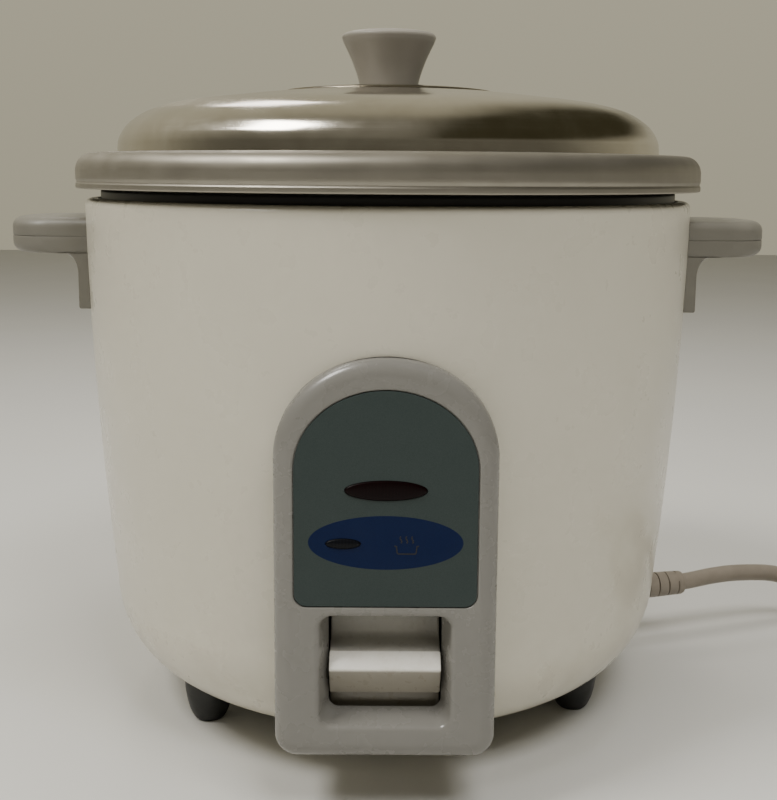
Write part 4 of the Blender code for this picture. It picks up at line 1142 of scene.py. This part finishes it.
def make_label():
    front_y, rear_y = LABEL_FACE_Y, -139.2
    bm = bmesh.new()
    rows = ((0.0, rear_y), (0.0, front_y + 0.15), (-0.15, front_y))
    loops = [
        at_depth(arch(LABEL_HIGH.x + g, LABEL_LOW.z - g, 135.6, LABEL_HIGH.z - 135.6 + g, 4.5 + g), y)
        for g, y in rows
    ]
    rings = loft_into(bm, loops, (False, False))
    holes = []
    for low, high in ((WARM_LOW, WARM_HIGH), (COOK_LOW, COOK_HIGH)):
        loops = [at_depth(oval(low, high, 0.12), y) for y in (rear_y, front_y)]
        holes.append(loft_into(bm, loops, (False, False)))
    fill_between(bm, [rings[0], holes[0][0], holes[1][0]])
    fill_between(bm, [rings[-1], holes[0][-1], holes[1][-1]])
    finished("label", bm, FILM, "body", ("label_plate",))


def make_lens(name, node, material):
    low, high = limits(node)
    face_y = LABEL_FACE_Y
    dome = [(-1.0, face_y - 0.6), (-0.55, face_y - 0.52), (-0.2, face_y - 0.3), (-0.02, face_y)]
    rows = [*dome, (0.0, -137.3), (1.3, -137.3), (1.3, -136.4)]
    bm = bmesh.new()
    centre = (low + high) / 2
    inner = []
    for share, lift in ((0.25, 0.78), (0.5, 0.75), (0.75, 0.69)):
        points = [(centre.x + (x - centre.x) * share, z) for x, z in oval(low, high, -1.0)]
        inner.append([(x, face_y - lift, centre.z + (z - centre.z) * share) for x, z in points])
    loops = inner + [at_depth(oval(low, high, g), y) for g, y in rows]
    loft_into(bm, loops)
    finished(name, bm, material, "body", (node,), 50)


def make_pictogram():
    """A plain open pot under three wisps of steam, drawn in thin lines on the blue oval."""
    face_y, cx, cz = LABEL_FACE_Y - 0.04, 7.6, 0.5 * (COOK_LOW.z + COOK_HIGH.z) - 1.4
    pot = [(cx - 4.5, cz + 0.6), (cx - 3.7, cz + 0.6), (cx - 3.4, cz - 2.3), (cx + 3.4, cz - 2.3)]
    lines = [rounded([*pot, (cx + 3.7, cz + 0.6), (cx + 4.5, cz + 0.6)], 0.7, 4)]
    for k in (-1, 0, 1):
        wisp = [(cx + k * 2.1 + 0.3 * math.sin(math.tau * i / 12), cz + 1.7 + 2.6 * i / 12) for i in range(13)]
        lines.append(wisp)
    bm = bmesh.new()
    for line in lines:
        outline = offset(line, 0.24) + offset(line, -0.24)[::-1]
        loft_into(bm, [at_depth(outline, face_y), at_depth(outline, face_y + 0.05)])
    finished("cook_pictogram", bm, INK, "body", ())


def make_lever():
    low, high = LEVER_LOW, LEVER_HIGH
    pivot_y, pivot_z, shield = -60.0, 40.0, 65.5
    centre = (pivot_y, pivot_z)
    inner = arc(centre, (shield - 2,) * 2, 184, 143, 20)
    above = arc(centre, (shield,) * 2, 143, 157, 10)
    bar = [(-130.6, 63.4), (-132.0, 64.5), (-137.6, 59.2), (-131.0, 47.3), (-129.0, 48.6)]
    below = arc(centre, (shield,) * 2, 170, 184, 8)
    nose = [above[-1], *bar, below[0]]
    corner = rounded([above[-5], above[-1], bar[0]], 3.0, 6)
    outline = inner + above[:-5] + corner[:-1] + rounded(nose[1:], 0.6, 5) + below[1:]
    bm = bmesh.new()
    half, r = high.x, 0.7
    loops = []
    left = [(-half, r), (-half + 0.2, r * 0.35), (-half + r, 0.0)]
    for x, g in left + [(-x, g) for x, g in left[::-1]]:
        closed = outline + outline[:2]
        moved = offset([outline[-1], *closed], g)[1 : len(outline) + 1] if g else outline
        loops.append([(x, y, z) for y, z in moved])
    loft_into(bm, loops)
    finished("cook_lever", bm, LEVER_WHITE, "lever", ("switch_lever",), 35)
    socket = bmesh.new()
    for z in (40.0, 45.5):
        cheek = Matrix.Translation((0, -115.4, z)) @ Matrix.Diagonal((22, 16, 2.8, 1))
        bmesh.ops.create_cube(socket, size=1, matrix=cheek)
    bmesh.ops.bevel(socket, geom=socket.edges[:], offset=0.5, segments=2, affect="EDGES")
    finished("lever_socket", socket, WHITE, "lever", ())


# ---------------------------------------------------------------- under the pan and under the body


def make_hot_plate():
    low, high, rim = PLATE_LOW.z, PLATE_HIGH.z, PLATE_HIGH.x
    hole = 17.2
    top = [(rim - 2.2, high), (rim - 2.6, high), (rim - 30, high), (rim - 30.6, high - 0.35)]
    top.append((rim - 31.2, high))
    outline = [(hole, low), (rim - 2, low), *arc((rim - 2, low + 2), (2, 2), -90, 0, 5)]
    outline += [*arc((rim - 1.6, high - 1.6), (1.6, 1.6), 0, 90, 6), *top, (hole + 1, high)]
    outline += arc((hole + 1, high - 1), (1, 1), 90, 180, 4)
    finished("cast_hot_plate", turned_mesh(outline), CAST, "body", ("hot_plate",))
    top_z, low_z, radius = SENSOR_HIGH.z, SENSOR_LOW.z, SENSOR_HIGH.x
    cap = [(0, top_z), (radius - 1.6, top_z), *arc((radius - 1.4, top_z - 1.4), (1.4, 1.4), 80, 0, 6)]
    cap += [(radius, low_z), (radius - 0.9, low_z), (radius - 0.9, top_z - 1.6)]
    cap += [(radius - 1.8, top_z - 1), (0, top_z - 1)]
    finished("sensor_button", turned_mesh(cap, 64), ALUMINIUM, "sensor", ("sensor_cap",))


def make_spring(node, turns, wire):
    """Helical spring whose coils close up a little at one end."""
    low, high = limits(node)
    coil_r = high.x - wire
    bm = bmesh.new()
    loops = []
    count, sides = turns * 32, 10
    for i in range(count + 1):
        a = math.tau * turns * i / count
        share = smooth_step(i / count) * 0.35 + i / count * 0.65
        z = low.z + wire + (high.z - low.z - 2 * wire) * share
        loop = []
        for k in range(sides):
            b = math.tau * k / sides
            r = coil_r + wire * math.cos(b)
            loop.append((r * math.cos(a), r * math.sin(a), z + wire * math.sin(b)))
        loops.append(loop)
    loft_into(bm, loops)
    spring = finished(node + "_coil", bm, BRIGHT, "body", (node,), 50)
    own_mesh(spring)


def make_base():
    low, high = limits("base_cover")
    rim = high.x
    outline = [(0, low.z), (30, low.z), (31, low.z + 0.5), (63, low.z + 0.5), (64, low.z), (rim - 0.6, low.z)]
    outline += [(rim, low.z + 0.5), (rim, high.z), (0, high.z)]
    cover = finished("vented_base", turned_mesh(outline, 128), ZINC, "body", ("base_cover",))
    bm = bmesh.new()
    for i in range(6):
        spoke = Matrix.Rotation(math.tau * (i + 0.5) / 6, 4, "Z")
        for k in (-1, 0, 1):
            place = Matrix.Translation((47 * MM, k * 9 * MM, low.z * MM))
            slot = spoke @ place @ Matrix.Diagonal((26 * MM, 3.2 * MM, 8 * MM, 1))
            bmesh.ops.create_cube(bm, size=1, matrix=slot)
    apply_cut(cover, bm)


CAD_FINISHES = {
    "heating_element": ELEMENT,
    "thermostat_bracket": ZINC,
    "lever_bracket": ZINC,
    "link_arm": ZINC,
    "lever_pin": BRIGHT,
    "magnet_rod": BRIGHT,
    "thermostat_body": BRASS,
    "magnet": FERRITE,
    "sensor_ferrite": FERRITE,
    "plate_spacer_1": CERAMIC,
    "plate_spacer_2": CERAMIC,
    "plate_spacer_3": CERAMIC,
    "terminal_block": CERAMIC,
    "thermal_fuse": CERAMIC,
    "micro_switch": PHENOLIC,
    "switch_plunger": WHITE,
    "lamp_tray": WHITE,
    "warm_lamp": GLASS_LAMP,
    "cook_lamp": GLASS_LAMP,
    "wire_supply": SLEEVE,
    "wire_heater": SLEEVE,
    "wire_switched": SLEEVE,
}


def paint_cad_nodes():
    for name, material in CAD_FINISHES.items():
        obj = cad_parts[name]
        obj.data.materials.clear()
        obj.data.materials.append(material)


make_camera()
relief = make_strain_relief()
make_cord([relief, *make_plug(), make_tie()])
make_stage()
make_shell()
make_liner()
make_pan()
make_lid()
make_handles()
make_feet()
make_screws()
make_panel()
make_label()
make_lens("warm_light", "warm_lens", RED)
make_lens("cook_light", "cook_lens", SMOKE)
make_pictogram()
make_lever()
make_hot_plate()
make_spring("sensor_spring", 4, 0.55)
make_spring("return_spring", 5, 0.5)
make_base()
paint_cad_nodes()
